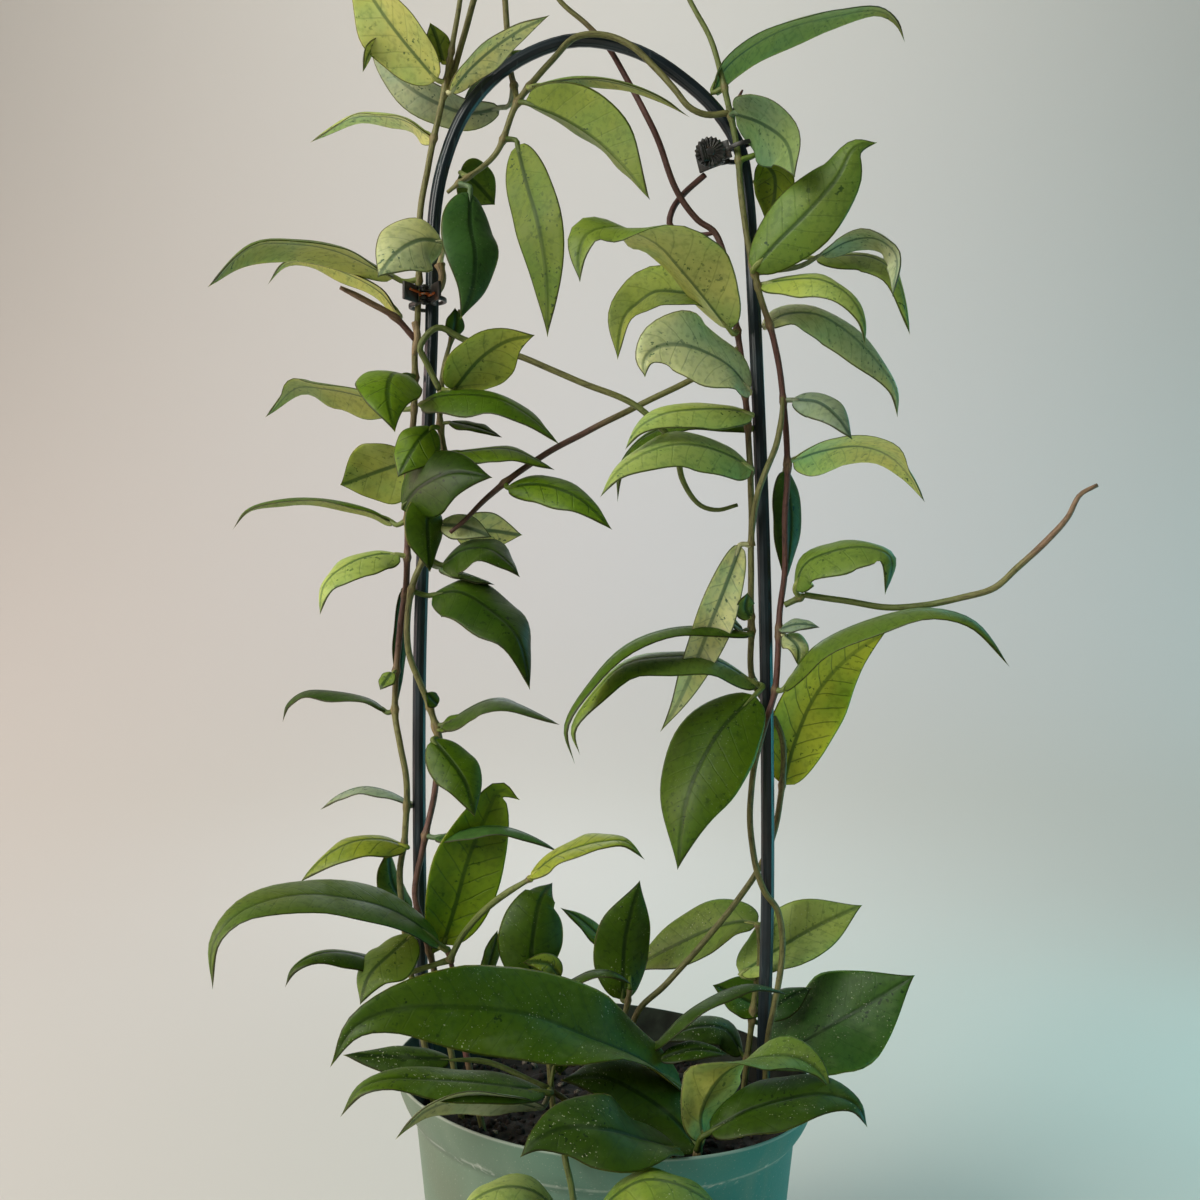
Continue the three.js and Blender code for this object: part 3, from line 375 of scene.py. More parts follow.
soil_wall = pot_radius(SOIL_TOP - 4) - POT_WALL - SOIL_GAP
soil_profile = [(0, SOIL_FLOOR + 1), (pot_radius(5) - POT_WALL - SOIL_GAP, SOIL_FLOOR + 1),
                (soil_wall, SOIL_TOP - 4)]
for ring in range(SOIL_RINGS):
    soil_profile.append((soil_wall * (1 - (ring + 0.4) / SOIL_RINGS), SOIL_TOP))
soil_profile.append((0, SOIL_TOP))
soil_shape = turned(soil_profile, 120, {})
for vert in soil_shape.verts:
    if vert.co.z > SOIL_TOP - 10:
        vert.co.z += soil_lift(vert.co.x, vert.co.y)
chance = random.Random(7)
for crumb in range(CRUMBS):
    reach = (soil_wall - 3) * chance.random() ** 0.5
    turn = chance.uniform(0, 2 * pi)
    x, y = reach * cos(turn), reach * sin(turn)
    size = chance.uniform(0.7, 1.8)
    squeeze = [chance.uniform(0.5, 1.4) * size for side in range(3)]
    spin = Matrix.Rotation(chance.uniform(0, 2 * pi), 4, "Z") @ Matrix.Rotation(
        chance.uniform(-0.7, 0.7), 4, "X")
    spot = Matrix.Translation((x, y, SOIL_TOP + soil_lift(x, y) + 0.15 * size))
    made = bmesh.ops.create_icosphere(soil_shape, subdivisions=1, radius=1,
                                      matrix=spot @ spin @ Matrix.Diagonal((*squeeze, 1)))
    pale = 1 if chance.random() < PALE_SHARE else 0
    for face in faces_of(made["verts"]):
        face.material_index = pale
lean_rim(soil_shape.verts)

soil_mix, place = new_finish("damp_soil", Roughness=0.95)
crumbs = place.grain(260, 5)
fibres = place.grain(900, 3, stretch=(1, 0.3, 1))
dark = crumbs.fade(0.35, 0.65).mix(colour(12, 9, 7), colour(34, 26, 19))
(fibres.fade(0.6, 0.75) * 0.5).mix(dark, colour(74, 56, 38)).feed("Base Color")
(0.85 + 0.15 * crumbs).feed("Roughness")
(crumbs + 0.4 * fibres).emboss(0.0012, 0.8)

pale_grain, place = new_finish("pale_soil_grain", Roughness=0.9)
pits = place.grain(1500, 3)
pits.fade(0.35, 0.7).mix(colour(72, 64, 54), colour(134, 126, 112)).feed("Base Color")
pits.emboss(0.0004, 0.8)
add_piece("potting_soil", soil_shape, [soil_mix, pale_grain], ["soil"])

# Hoop: one rod of near-black plastic with fine ridges along it, bent to a U with a round top. Both
# feet are pushed deep into the soil. The vines are wound round its legs and held there by clips.
HOOP_RADIUS = 2.7
HOOP_RIDGES = 10
HOOP_GROOVE = 0.16
HOOP_ROUTE = [
    (-62, 24), (-69, 104), (-73, 150), (-74.2, 210), (-74, 288), (-69.5, 410), (-68, 464), (-64, 484),
    (-56, 503), (-42, 519), (-24, 529), (-8, 532), (14, 527), (34, 514), (46, 502), (54, 488),
    (57, 470), (59.5, 428), (64, 308), (65, 188), (63.5, 130), (62, 24),
]


class Route:
    """A smooth line through points, read by its share of length from 0 to 1."""

    def __init__(self, points, steps=12):
        ends = [points[0] * 2 - points[1], *points, points[-1] * 2 - points[-2]]
        self.places = []
        for a, b, c, d in zip(ends, ends[1:], ends[2:], ends[3:]):
            before, span, after = ((q - p).length ** 0.5 for p, q in ((a, b), (b, c), (c, d)))
            leave = ((b - a) / before - (c - a) / (before + span) + (c - b) / span) * span
            reach = ((c - b) / span - (d - b) / (span + after) + (d - c) / after) * span
            for step in range(steps):
                t = step / steps
                bend = (2 * b - 2 * c + leave + reach) * t + (3 * c - 3 * b - 2 * leave - reach)
                self.places.append(b + leave * t + bend * t * t)
        self.places.append(points[-1].copy())
        self.marks = [0]
        for near, far in zip(self.places, self.places[1:]):
            self.marks.append(self.marks[-1] + (far - near).length)
        self.length = self.marks[-1]

    def at(self, share):
        mark = min(max(share, 0), 1) * self.length
        near = min(bisect(self.marks, mark), len(self.places) - 1) - 1
        part = (mark - self.marks[near]) / (self.marks[near + 1] - self.marks[near])
        return self.places[near].lerp(self.places[near + 1], part)

    def along(self, share):
        step = 0.015
        return (self.at(share + step) - self.at(share - step)).normalized()

    def nearest(self, spot):
        """The share at which the line comes nearest to a spot, and how near it comes."""
        gaps = [(place - spot).length for place in self.places]
        best = min(range(len(gaps)), key=gaps.__getitem__)
        return self.marks[best] / self.length, gaps[best]


def sweep(shape, route, radius_at, rings, around, start=0.0, end=1.0):
    """A closed tube along a route. radius_at gives its radius at a share and an angle."""
    made = bmesh.ops.create_grid(shape, x_segments=around, y_segments=rings, size=0.5)
    across = route.along(start).orthogonal().normalized()
    frames = []
    for ring in range(rings + 1):
        share = start + (end - start) * max(0, min(1, (ring - 1) / (rings - 2)))
        along = route.along(share)
        across = (across - along * across.dot(along)).normalized()
        frames.append((route.at(share), across, along.cross(across), share))
    skin_mm = shape.verts.layers.float_vector.get("skin_mm")
    for vert in made["verts"]:
        ring = round((vert.co.y + 0.5) * rings)
        angle = 2 * pi * (vert.co.x + 0.5)
        middle, right, up, share = frames[ring]
        radius = 0 if ring in (0, rings) else radius_at(share, angle)
        vert.co = middle + (right * cos(angle) + up * sin(angle)) * radius
        if skin_mm:
            vert[skin_mm] = (radius * cos(angle), share * route.length, radius * sin(angle))
    faces = faces_of(made["verts"])
    bmesh.ops.remove_doubles(shape, verts=made["verts"], dist=0.0005)
    return [face for face in faces if face.is_valid]


def hoop_radius(share, angle):
    return HOOP_RADIUS - HOOP_GROOVE * (0.5 + 0.5 * cos(HOOP_RIDGES * angle)) ** 2


hoop_shape = bmesh.new()
hoop_route = Route([Vector((x, 0, z)) for x, z in HOOP_ROUTE])
sweep(hoop_shape, hoop_route, hoop_radius, 220, 60)

hoop_plastic, place = new_finish("black_hoop_plastic", Roughness=0.3, Specular_IOR_Level=0.5)
smears = place.grain(45, 4)
scuffs = place.grain(420, 3, stretch=(1, 1, 0.1)).fade(0.6, 0.72)
black = smears.fade(0.35, 0.7).mix(colour(16, 26, 31), colour(30, 45, 51))
(scuffs * 0.35).mix(black, colour(88, 102, 106)).feed("Base Color")
(0.24 + 0.22 * smears + 0.2 * scuffs).feed("Roughness")
(0.5 * place.grain(1100, 2) + scuffs).emboss(0.00015, 0.4)
add_piece("hoop_rod", hoop_shape, [hoop_plastic], ["hoop"])

# Vines and shoots: woody stems, thickened at each joint, that grow from the soil and twine up the
# hoop, stand by themselves or hang over the rim, with thick waxy leaves on short stalks. Each plant
# is one CAD node and two pieces here, its stems and its leaves.
VINE_RADIUS = 1.4
BLADE_DROOP = -15
BARKS = {
    "olive": colour(112, 112, 62),
    "green": colour(98, 112, 52),
    "brown": colour(96, 66, 54),
    "tan": colour(150, 132, 96),
    "dead": colour(128, 104, 78),
    "red": colour(92, 56, 46),
}
JOINT_BARK = colour(134, 116, 76)
# Upper side, underside, and how clearly the side veins show. Each leaf's tone is matched to how light or
# dark that leaf looks, so besides the leaves' own greens the tones hold painted light and shade: the deep
# tone partly stands for painted shade, and the lit, bright and pale tones partly for painted light.
TONES = {
    "deep": (colour(42, 67, 7), colour(94, 112, 32), 0.25),
    "full": (colour(60, 87, 7), colour(120, 134, 60), 0.3),
    "cool": (colour(54, 88, 36), colour(104, 130, 90), 0.25),
    "mid": (colour(78, 100, 30), colour(146, 158, 88), 0.35),
    "fresh": (colour(96, 120, 46), colour(172, 178, 100), 0.4),
    "mint": (colour(124, 140, 112), colour(144, 154, 120), 0.3),
    "bright": (colour(144, 162, 86), colour(190, 196, 124), 0.4),
    "pale": (colour(172, 178, 130), colour(214, 214, 160), 0.5),
    "lit": (colour(86, 114, 18), colour(98, 122, 16), 0.8),
    "lime": (colour(120, 134, 44), colour(178, 184, 60), 1.0),
    "speckled": (colour(92, 112, 34), colour(160, 172, 80), 0.5),
}
VINES = []


def seen(place):
    """A place seen at x, z on the hoop's plane, moved nearer to the eye by its third number."""
    x, z, toward = place
    return Vector((x, 0, z)).lerp(EYE, toward / -EYE.y)


def start_vine(name, radius=VINE_RADIUS):
    """Starts a plant. The stems and leaves that follow are its own."""
    VINES.append(dict(name=name, radius=radius, stems=[], leaves=[]))


def stem(barks, *places, girth=1.0):
    """A stem from its foot to its end, its barks named on the way."""
    route = Route([seen(place) for place in places])
    VINES[-1]["stems"].append(dict(barks=barks.split(), girth=girth, joints=[], route=route))


def leaf(tone, wide, upper, *places, fold=BLADE_DROOP):
    """A leaf along its midrib, with its greatest width and where its upper side looks.

    That is a direction or a turn: 0 looks at the camera, 90 at the sky and 180 away from the camera.
    The margins stand fold degrees over the midrib, or hang under it where fold is below 0. A list of
    turns or folds runs from the leaf's base to its tip.
    """
    route = Route([seen(place) for place in places])
    VINES[-1]["leaves"].append(dict(tone=tone, wide=wide, upper=upper, fold=fold, route=route))


start_vine("left_outer_vine")
stem("olive olive brown olive olive", (-67, 90, 12), (-70, 118, 11), (-76, 150, 9), (-80, 175, 6),
     (-82, 199, 3), (-80, 214, 3), (-79.5, 237, 4), (-82, 250, 3), (-84, 264, 0), (-82, 296, 0),
     (-79.5, 315, 3), (-79, 340, 3), (-79, 362, 1), (-76.5, 381, -1), (-76, 395, -1), (-76, 408, 0),
     (-75, 420, 2), (-74.5, 436, 2), (-74, 462, 1), (-71, 480, 2), (-68, 495, 3), (-65, 508, 4),
     (-63, 519, 4), (-58, 548, 6), (-55, 572, 9), (-53, 598, 12))
stem("olive", (-65, 508, 4), (-61, 518, 2), (-53, 546, 0), (-47, 566, -4), (-43, 584, -8))
stem("brown dead", (-75.6, 412, 1), (-84, 421, 4), (-96, 428, 8), (-106, 433, 10))
stem("tan", (-66, 442, 4), (-65, 437, 5), (-66.5, 431, 4), girth=1.2)
stem("tan", (-76, 419, 4), (-75, 413, 5.5), (-76.5, 406, 4), girth=1.1)
leaf("fresh", 31, 138, (-67, 516, 5), (-85, 538, 13), (-104, 566, 22))
leaf("lime", 12, 30, (-65, 523, 5), (-67, 531, 8), (-70, 539, 10))
leaf("pale", 17, 128, (-62, 511, 5), (-55, 520, 8), (-45, 529, 12), (-33, 537, 15), (-22, 542, 18))
leaf("bright", 24, 102, (-69, 493, 2), (-79, 500, -5), (-89, 502, -12), (-102, 501, -18),
     (-118, 491, -24))
leaf("pale", 26, 28, (-65, 451, 12), (-73, 452, 18), (-83, 447, 27), (-91, 437, 32))
leaf("mid", 33, 106, (-84, 437, 5), (-107, 448, 14), (-124, 451, 24), (-141, 450, 34), (-159, 433, 44))
leaf("fresh", 18, 106, (-83, 423, -2), (-89, 431, -6), (-103, 439, -12), (-120, 444, -19),
     (-129, 442, -23), (-135, 434, -26))
leaf("lit", 26, Vector((0.2, -0.5, 0.85)), (-80, 398, 8), (-85, 398, 24), (-87, 389, 38), (-84, 375, 43))
leaf("mid", 31, 110, (-83, 385, -3), (-97, 390, -8), (-112, 393, -14), (-124, 393, -20), (-136, 381, -26))
leaf("mid", 31, 155, (-77, 364, -5), (-87, 361, -9), (-106, 354, -14))
leaf("full", 20, 97, (-85, 339, 0), (-94, 344, -6), (-112, 348, -15), (-129, 348, -22), (-143, 344, -29),
     (-149, 336, -34))
leaf("bright", 24, 66, (-82, 326, 5), (-91, 326, 10), (-103, 322, 18), (-112, 314, 24), (-114, 302, 28))
leaf("deep", 9, 48, (-81, 312, -4), (-82, 289, -8), (-83, 266, -9))
leaf("fresh", 8, 40, (-85, 279, 4), (-90, 272, 8))
leaf("deep", 19, 82, (-87, 263, -2), (-94, 268, -7), (-107, 271, -14), (-120, 271, -21), (-127, 266, -26),
     (-129, 259, -28))
leaf("mint", 15, 80, (-77, 226, -1), (-86, 231, -5), (-96, 233, -9), (-106, 230, -14), (-114, 224, -18))
leaf("lime", 22, 66, (-79, 209, 4), (-89, 212, 7), (-101, 211, 10), (-112, 205, 13), (-122, 195, 16))
leaf("mid", 14, 40, (-78, 184, -3), (-85, 194, -6), (-87, 209, -8))
leaf("fresh", 9, 40, (-55, 574, 11), (-60, 584, 14), (-63, 596, 16))
leaf("fresh", 7, 120, (-53, 598, 12), (-49, 605, 14), (-44, 612, 14))
leaf("fresh", 10, 115, (-82, 531, 0), (-88, 532, 2), (-94, 528, 5), (-97, 519, 8))

start_vine("left_inner_vine")
stem("olive brown olive olive", (-56, 90, 12), (-60, 118, 12), (-66, 150, 11), (-73, 178, 10),
     (-76, 190, 8), (-73, 208, 7), (-68, 232, 5), (-66.6, 252, 5), (-69, 262, 6), (-74, 275, 8),
     (-78.5, 287, 9), (-79, 300, 9), (-77, 314, 9), (-71, 328, 8), (-67, 345, 5), (-64, 362, 5),
     (-66, 380, 6), (-65, 398, 5), (-61, 414, 2), (-58, 424, 1))
stem("green olive green", (-66, 392, 6), (-72, 404, 7), (-74, 409, 8), (-67, 417, 8), (-56, 412, 6),
     (-33, 405, 6), (-12, 396, 8), (12, 386, 9), (22, 377, 9), (28, 370, 8), (31, 356, 7), (38, 346, 6),
     (45, 344, 5), (53, 346, 4))
leaf("speckled", 28, 145, (-61, 392, 7), (-50, 405, 15), (-39, 412, 21), (-28, 414, 25))
leaf("full", 25, 66, (-74, 386, 10), (-67, 389, 14), (-55, 390, 20), (-42, 388, 26), (-30, 381, 32),
     (-18, 370, 38))
leaf("full", 12, 70, (-62, 379, 8), (-52, 377, 12), (-41, 373, 14))
leaf("lit", 20, 72, (-60, 367, 7), (-38, 368, 10), (-20, 360, 14))
leaf("deep", 28, 32, (-81, 345, 10), (-74, 353, 18), (-61, 359, 25), (-45, 357, 29))
leaf("full", 19, 35, (-71, 350, 10), (-71, 336, 14), (-70, 319, 14))
leaf("lit", 19, 25, (-69, 377, 9), (-75, 371, 15), (-83, 357, 20))
leaf("pale", 19, 155, (-60, 336, -3), (-46, 336, -8), (-33, 334, -10))
leaf("pale", 12, 30, (-66, 338, 6), (-56, 337, 10), (-45, 333, 12))
leaf("deep", 26, 62, (-65, 322, 7), (-56, 328, 14), (-46, 328, 20), (-38, 322, 25), (-34, 317, 28))
leaf("mint", 14, 80, (-66, 321, 6), (-55, 318, 9), (-44, 314, 12))
leaf("deep", 29, 48, (-69, 310, 8), (-58, 311, 18), (-46, 304, 28), (-35, 293, 37), (-30, 272, 42))
leaf("deep", 27, 80, (-65, 258, 7), (-44, 268, 16), (-18, 258, 34))
leaf("full", 9, 60, (-66, 256, 8), (-60, 260, 11), (-54, 261, 12))
leaf("full", 8, 40, (-67, 266, 7), (-72, 271, 9))
leaf("full", 20, 22, (-69, 252, 9), (-62, 244, 15), (-56, 235, 20), (-52, 221, 24))
leaf("cool", 18, 79, (-68, 213, 9), (-56, 216, 13), (-42, 217, 17), (-31, 214, 20), (-18, 207, 22))
leaf("lit", 30, 165, (-65, 170, 10), (-60, 186, 10), (-55, 204, 10), (-48, 221, 9), (-42, 232, 8),
     (-34, 228, 8))
leaf("full", 9, 30, (-61, 413, 3), (-60, 419, 5), (-60, 425, 6))

start_vine("right_outer_vine")
stem("olive olive olive red red red olive green green", (64, 95, 6), (65, 131, 6), (68, 147, 5),
     (71, 168, 3), (69, 184, 5), (64, 191, 6), (60, 203, 4), (58, 222, 3), (60, 243, 5), (64, 258, 6),
     (68, 272, 5), (70, 304, 1), (72, 320, 1), (72, 340, 1), (73, 363, 1), (70, 399, 2), (67, 414, 4),
     (62, 430, 6), (57, 452, 6), (54, 475, 5.5), (53, 488, 5), (50, 503, 6), (46, 520, 6), (42, 533, 5),
     (33, 550, 4), (27, 572, 4), (25, 598, 6))
stem("olive", (50, 503, 6), (41, 502, 7), (34, 505, 8), (28, 512, 7), (20, 521, 6), (10, 530, 6),
     (0, 534, 5), (-12, 533, 5), (-21, 524, 6), (-35, 507, 5), (-44, 486, 4), (-58, 475, 5),
     (-63, 471, 6))
stem("olive", (-35, 507, 5), (-36, 512, 0), (-38, 521, -7), (-40, 548, -8), (-42, 568, -9))
stem("green green olive dead", (80, 310, 4), (94, 308, 10), (114, 305, 18), (128, 306, 24),
     (143, 309, 30), (156, 313, 34), (165, 321, 37), (177, 332, 40), (185, 341, 42), (190, 350, 43),
     (197, 354, 44))
stem("green", (72, 306, 1), (80, 310, 4))
stem("red", (51, 502, 4.5), (52.5, 507, 4.5), (55, 512, 4.5), girth=0.5)
leaf("mint", 18, 150, (-42, 505, -8), (-55, 503, -13), (-67, 507, -16), (-79, 514, -19), (-89, 524, -22),
     (-95, 537, -24))
leaf("deep", 14, 60, (-31, 527, -10), (-39, 525, -11), (-48, 519, -12), (-57, 507, -13))
leaf("fresh", 13, 104, (-30, 513, 9), (-12, 517, 12), (6, 515, 14), (22, 509, 15), (34, 501, 15))
leaf("deep", 29, 135, (-32, 507, 8), (-17, 501, 15), (-3, 492, 22), (9, 480, 28), (18, 468, 31), fold=33)
leaf("deep", 21, 157, (-35, 490, 6), (-31, 474, 14), (-27, 460, 20), (-24, 444, 20), (-23, 429, 18),
     (-23, 413, 16), fold=-1)
leaf("mid", 22, 25, (-58, 479, -5), (-52, 475, -9), (-44, 466, -12))
leaf("cool", 24, 26, (-54, 471, 9), (-54, 458, 16), (-52, 446, 21), (-53, 433, 21), (-58, 420, 19))
leaf("full", 27, 112, (43, 511, 4), (47, 520, 1), (57, 529, -5), (72, 537, -12), (92, 542, -19),
     (110, 544, -25), (117, 539, -29), (120, 531, -31))
leaf("cool", 30, 135, (52, 503, 11), (63, 499, 20), (73, 491, 28), (76, 477, 34))
leaf("lit", 20, 150, (63, 484, 4), (68, 478, -3), (68, 469, -8), (65, 457, -12))
leaf("fresh", 27, 15, (59, 440, 9), (69, 451, 15), (81, 463, 20), (93, 477, 24), (100, 489, 25),
     (109, 491, 25))
leaf("mint", 22, 112, (86, 446, 11), (97, 452, 18), (109, 453, 28), (117, 446, 33), (115, 429, 36))
leaf("bright", 24, 72, (84, 445, -4), (106, 445, 0), (116, 438, 6), (122, 414, 12))
leaf("bright", 22, 66, (62, 434, 5), (74, 436, 11), (86, 436, 18), (97, 430, 24), (103, 420, 28),
     (104, 410, 30))
leaf("pale", 27, 60, (64, 417, -2), (72, 422, -8), (85, 422, -14), (97, 415, -19), (108, 404, -23),
     (116, 392, -25), (117, 381, -26))
leaf("mint", 16, 42, (75, 388, 3), (85, 387, 9), (93, 381, 16), (99, 372, 20))
leaf("bright", 31, [122, 108], (75, 364, -1), (86, 368, -7), (102, 370, -14), (114, 366, -21),
     (122, 358, -26), (128, 347, -30))
leaf("deep", 16, 40, (72, 360, -4), (74, 340, -8), (72, 314, -8))
leaf("fresh", 27, 62, (76, 312, 6), (80, 322, 12), (90, 327, 20), (104, 329, 26), (114, 325, 30),
     (112, 310, 32))
leaf("mint", 10, 60, (70, 296, 3), (77, 298, 7), (86, 297, 11))
leaf("pale", 12, 40, (72, 294, 4), (77, 289, 8), (77, 282, 10))
leaf("mid", 29, 80, (71, 272, 7), (85, 290, 16), (114, 302, 30), (133, 304, 38), (148, 299, 44),
     (162, 281, 52))
leaf("fresh", 9, 50, (26, 572, 5), (34, 582, 9), (40, 596, 12))

start_vine("right_inner_vine")
stem("olive olive olive olive olive brown brown red olive", (6, 99, -10), (9, 125, -8), (13, 143, -7),
     (25, 155, -6), (46, 179, -6), (60, 198, -6), (67, 213, -6), (71, 236, -4), (71, 252, -4),
     (66, 264, -6), (59, 276, -4), (58.5, 294, 1), (58.4, 308, 2.5), (58.4, 326, 3.8), (58.6, 344, 3.8),
     (58, 361, 3.8), (57, 379, 3.5), (55.5, 396, 2), (53.5, 412, 0), (51, 426, 0), (49, 440, 0),
     (44, 455, -1), (37, 460, -2), (28, 473, -3), (22, 490, -5), (16, 503, -6), (10, 514, -7),
     (2, 528, -7), (-7, 538, -7), (-19, 549, -6), (-27, 572, -4), (-31, 600, -2))
stem("olive brown", (54, 409, 0), (38, 398, 0), (22, 390, -1), (-4, 377, 0), (-26, 365, 4),
     (-46, 350, 10), (-56, 340, 14), (-62, 335, 15))
stem("red", (40, 478, -6), (31, 470, -6), (27, 464, -6), (26, 458, -6), (30, 455, -6), (38, 454, -4),
     (44, 455, -1))
stem("olive", (58.4, 330, 3.8), (59, 338, 6), (61, 350, 8.5), (64.5, 360, 8.5), (68.5, 370, 7),
     (70.5, 380, 5.5), (71, 389, 5))
leaf("fresh", 38, [125, 125, 133, 126, 108, 68, 37, 37], (50, 416, 5), (40, 429, 12), (30, 441, 20),
     (22, 450, 27), (13, 455, 31), (2, 457, 34), (-7, 454, 36), (-10, 446, 37), (-10, 435, 38),
     fold=[14, 14, 26, 16, 2, -5, 9, 9])
leaf("bright", 24, 42, (45, 423, -3), (38, 429, -4), (28, 431, -6), (20, 431, -7), (14, 427, -8),
     (8, 421, -8), (5, 404, -9), fold=23)
leaf("pale", 34, [66, 66, 55, 29, 16, 16], (58, 391, 6), (50, 401, 13), (40, 407, 19), (30, 410, 24),
     (21, 409, 27), (16, 404, 29), (16, 397, 30), fold=[6, 6, 0, 4, 0, 0])
leaf("bright", 23, 62, (59, 382, 6), (50, 384, 10), (36, 384, 14), (23, 382, 20), (13, 376, 26),
     (8, 368, 30))
leaf("full", 16, 70, (60, 376, -3), (49, 379, -5), (34, 380, -7), (24, 377, -8), (13, 371, -9),
     (6, 361, -10), (5, 347, -10))
leaf("bright", 27, 58, (59, 360, 4), (51, 365, 11), (40, 369, 18), (28, 370, 24), (15, 366, 31),
     (5, 359, 35), (-2, 349, 38))
leaf("lit", 19, 50, (-39, 353, 10), (-26, 354, 14), (-11, 349, 20), (3, 336, 24))
leaf("pale", 18, 150, (54, 330, 5), (48, 314, 9), (42, 299, 13), (36, 283, 16), (29, 267, 18),
     (22, 255, 18))
leaf("fresh", 10, 40, (58, 301, 4), (56, 305, 6), (57, 311, 8))
leaf("mint", 7, 60, (55, 296, 4), (49, 300, 9))
leaf("full", 17, 78, (58, 294, 5), (43, 297, 12), (25, 296, 22), (8, 289, 34), (-5, 276, 42),
     (-16, 257, 48), (-12, 242, 50))
leaf("fresh", 24, 68, (61, 274, 3), (43, 284, 12), (25, 285, 20), (8, 282, 27), (-3, 272, 32),
     (-13, 256, 35), (-10, 246, 36))
leaf("full", 36, 24, (60, 270, 9), (45, 254, 18), (33, 229, 27), (29, 200, 30))
leaf("lime", 30, 158, (71, 234, -6), (76, 252, -10), (84, 270, -13), (97, 285, -15), (113, 296, -16))
leaf("fresh", 9, 60, (-29, 574, -4), (-36, 585, -2), (-44, 594, 0))
leaf("fresh", 7, 80, (-30, 592, -3), (-24, 602, -2), (-20, 610, -2))

start_vine("left_base_shoot")
stem("olive red", (-46, 84, 26), (-52, 110, 24), (-58, 140, 20), (-61, 160, 18), (-63, 168, 18))
stem("green", (-62, 164, 18), (-56.6, 174.5, 24), (-44.4, 187.2, 34), (-30, 196.5, 43.5))
leaf("mid", 31, 66, (-66, 170, 21), (-74, 177, 25), (-86, 184, 30), (-101, 188, 38), (-117, 190, 46),
     (-133, 188, 54), (-147, 182, 60), (-156, 171, 64), (-157, 152, 66), fold=0)
leaf("full", 17, 68, (-85, 158, 16), (-94, 164, 20), (-107, 167, 25), (-118, 165, 30), (-125, 160, 33),
     (-128, 153, 34))
leaf("fresh", 23, 42, (-77, 174, 18), (-85, 167, 25), (-94, 158, 31), (-98, 146, 36))
leaf("lime", 20, 70, (-30, 197, 44), (-20, 205, 46), (-10, 209, 50), (-1, 211, 52), (8, 211, 54),
     (16, 204, 56), fold=0)
leaf("fresh", 10, 50, (-48, 158, 12), (-45, 168, 9), (-43, 176, 6))

start_vine("middle_shoot")
stem("olive", (-20, 93, 8), (-22, 120, 7), (-24, 140, 7), (-26, 156, 7))
stem("olive", (-22, 118, 7), (-14, 125, 5), (1, 134, 1), (8, 143, -3), (10, 152, -4))
leaf("full", 27, 12, (-30, 154, 9), (-29, 172, 10), (-26, 188, 4), (-21, 195, -6))
leaf("lime", 9, 20, (-18, 157, 12), (-22, 162, 15), (-27, 163, 17), (-33, 163, 19))
leaf("lit", 12, 55, (5, 166, -14), (-2, 173, -15), (-10, 180, -16), (-18, 185, -17))
leaf("full", 25, 20, (7, 148, -6), (8, 172, -10), (14, 196, -8))
leaf("deep", 13, 76, (-15, 155, 8), (-6, 159, 12), (3, 159, 16), (11, 154, 18))

start_vine("right_base_shoot")
stem("olive", (54, 100, -12), (57, 125, -12), (60, 150, -12), (62, 165, -11), (61, 178, -10))
leaf("fresh", 27, 40, (61, 178, -11), (54, 179, -16), (42, 176, -24), (29, 170, -32), (16, 163, -39),
     (9, 158, -42), fold=7)
leaf("bright", 31, [48, 48, 39, 20, 13, 13], (54, 158, -12), (69, 168, -15), (84, 177, -19),
     (103, 186, -22), fold=[9, 9, 14, 18, 10, 10])
leaf("cool", 45, [54, 54, 38, 11, 3, 3], (62, 122, -11), (81, 132, -12), (103, 145, -10), (124, 158, -8),
     fold=[8, 8, 3, -8, 0, 0])
leaf("full", 19, 30, (64, 144, -15), (56, 148, -17), (43, 154, -19), fold=11)
leaf("deep", 18, 48, (55, 126, -13), (48, 136, -14), (36, 137, -12), (21, 131, -10))
leaf("cool", 14, 30, (64, 141, -18), (72, 148, -20), (83, 153, -22))

start_vine("front_shoot")
stem("olive", (8, 80, 34), (17, 90, 35), (26, 99, 35), (31, 108, 34))
stem("olive", (8, 80, 34), (-4, 96, 42), (-16, 108, 52), (-22, 112, 58))
leaf("full", 36, [66, 66, 51, 34, 24, 3, 10, 10], (31, 112, 34), (14, 124, 42), (-7, 133, 52),
     (-30, 142, 61), (-58, 145, 71), (-83, 144, 77), (-100, 137, 81), (-110, 121, 82),
     fold=[19, 19, 31, 8, -2, 0, 8, 8])
leaf("full", 22, 60, (-24, 111, 64), (-37, 113, 70), (-54, 115, 76), (-72, 116, 81), (-88, 116, 85),
     (-98, 112, 87), (-106, 101, 88), fold=-5)
leaf("mint", 18, 114, (-25, 105, 62), (-37, 108, 70), (-50, 109, 78), (-62, 108, 85), (-72, 104, 89),
     (-79, 98, 91), (-84, 92, 92))
leaf("full", 9, 20, (-19, 129, 50), (-18, 123, 52), (-18, 118, 54))
leaf("deep", 14, 40, (-62, 124, 52), (-83, 125, 54), (-105, 126, 56))
leaf("deep", 20, 81, (18, 128, 30), (36, 145, 28), (57, 154, 27), (74, 150, 26))
leaf("deep", 11, 50, (22, 124, 34), (36, 128, 34), (50, 126, 34))

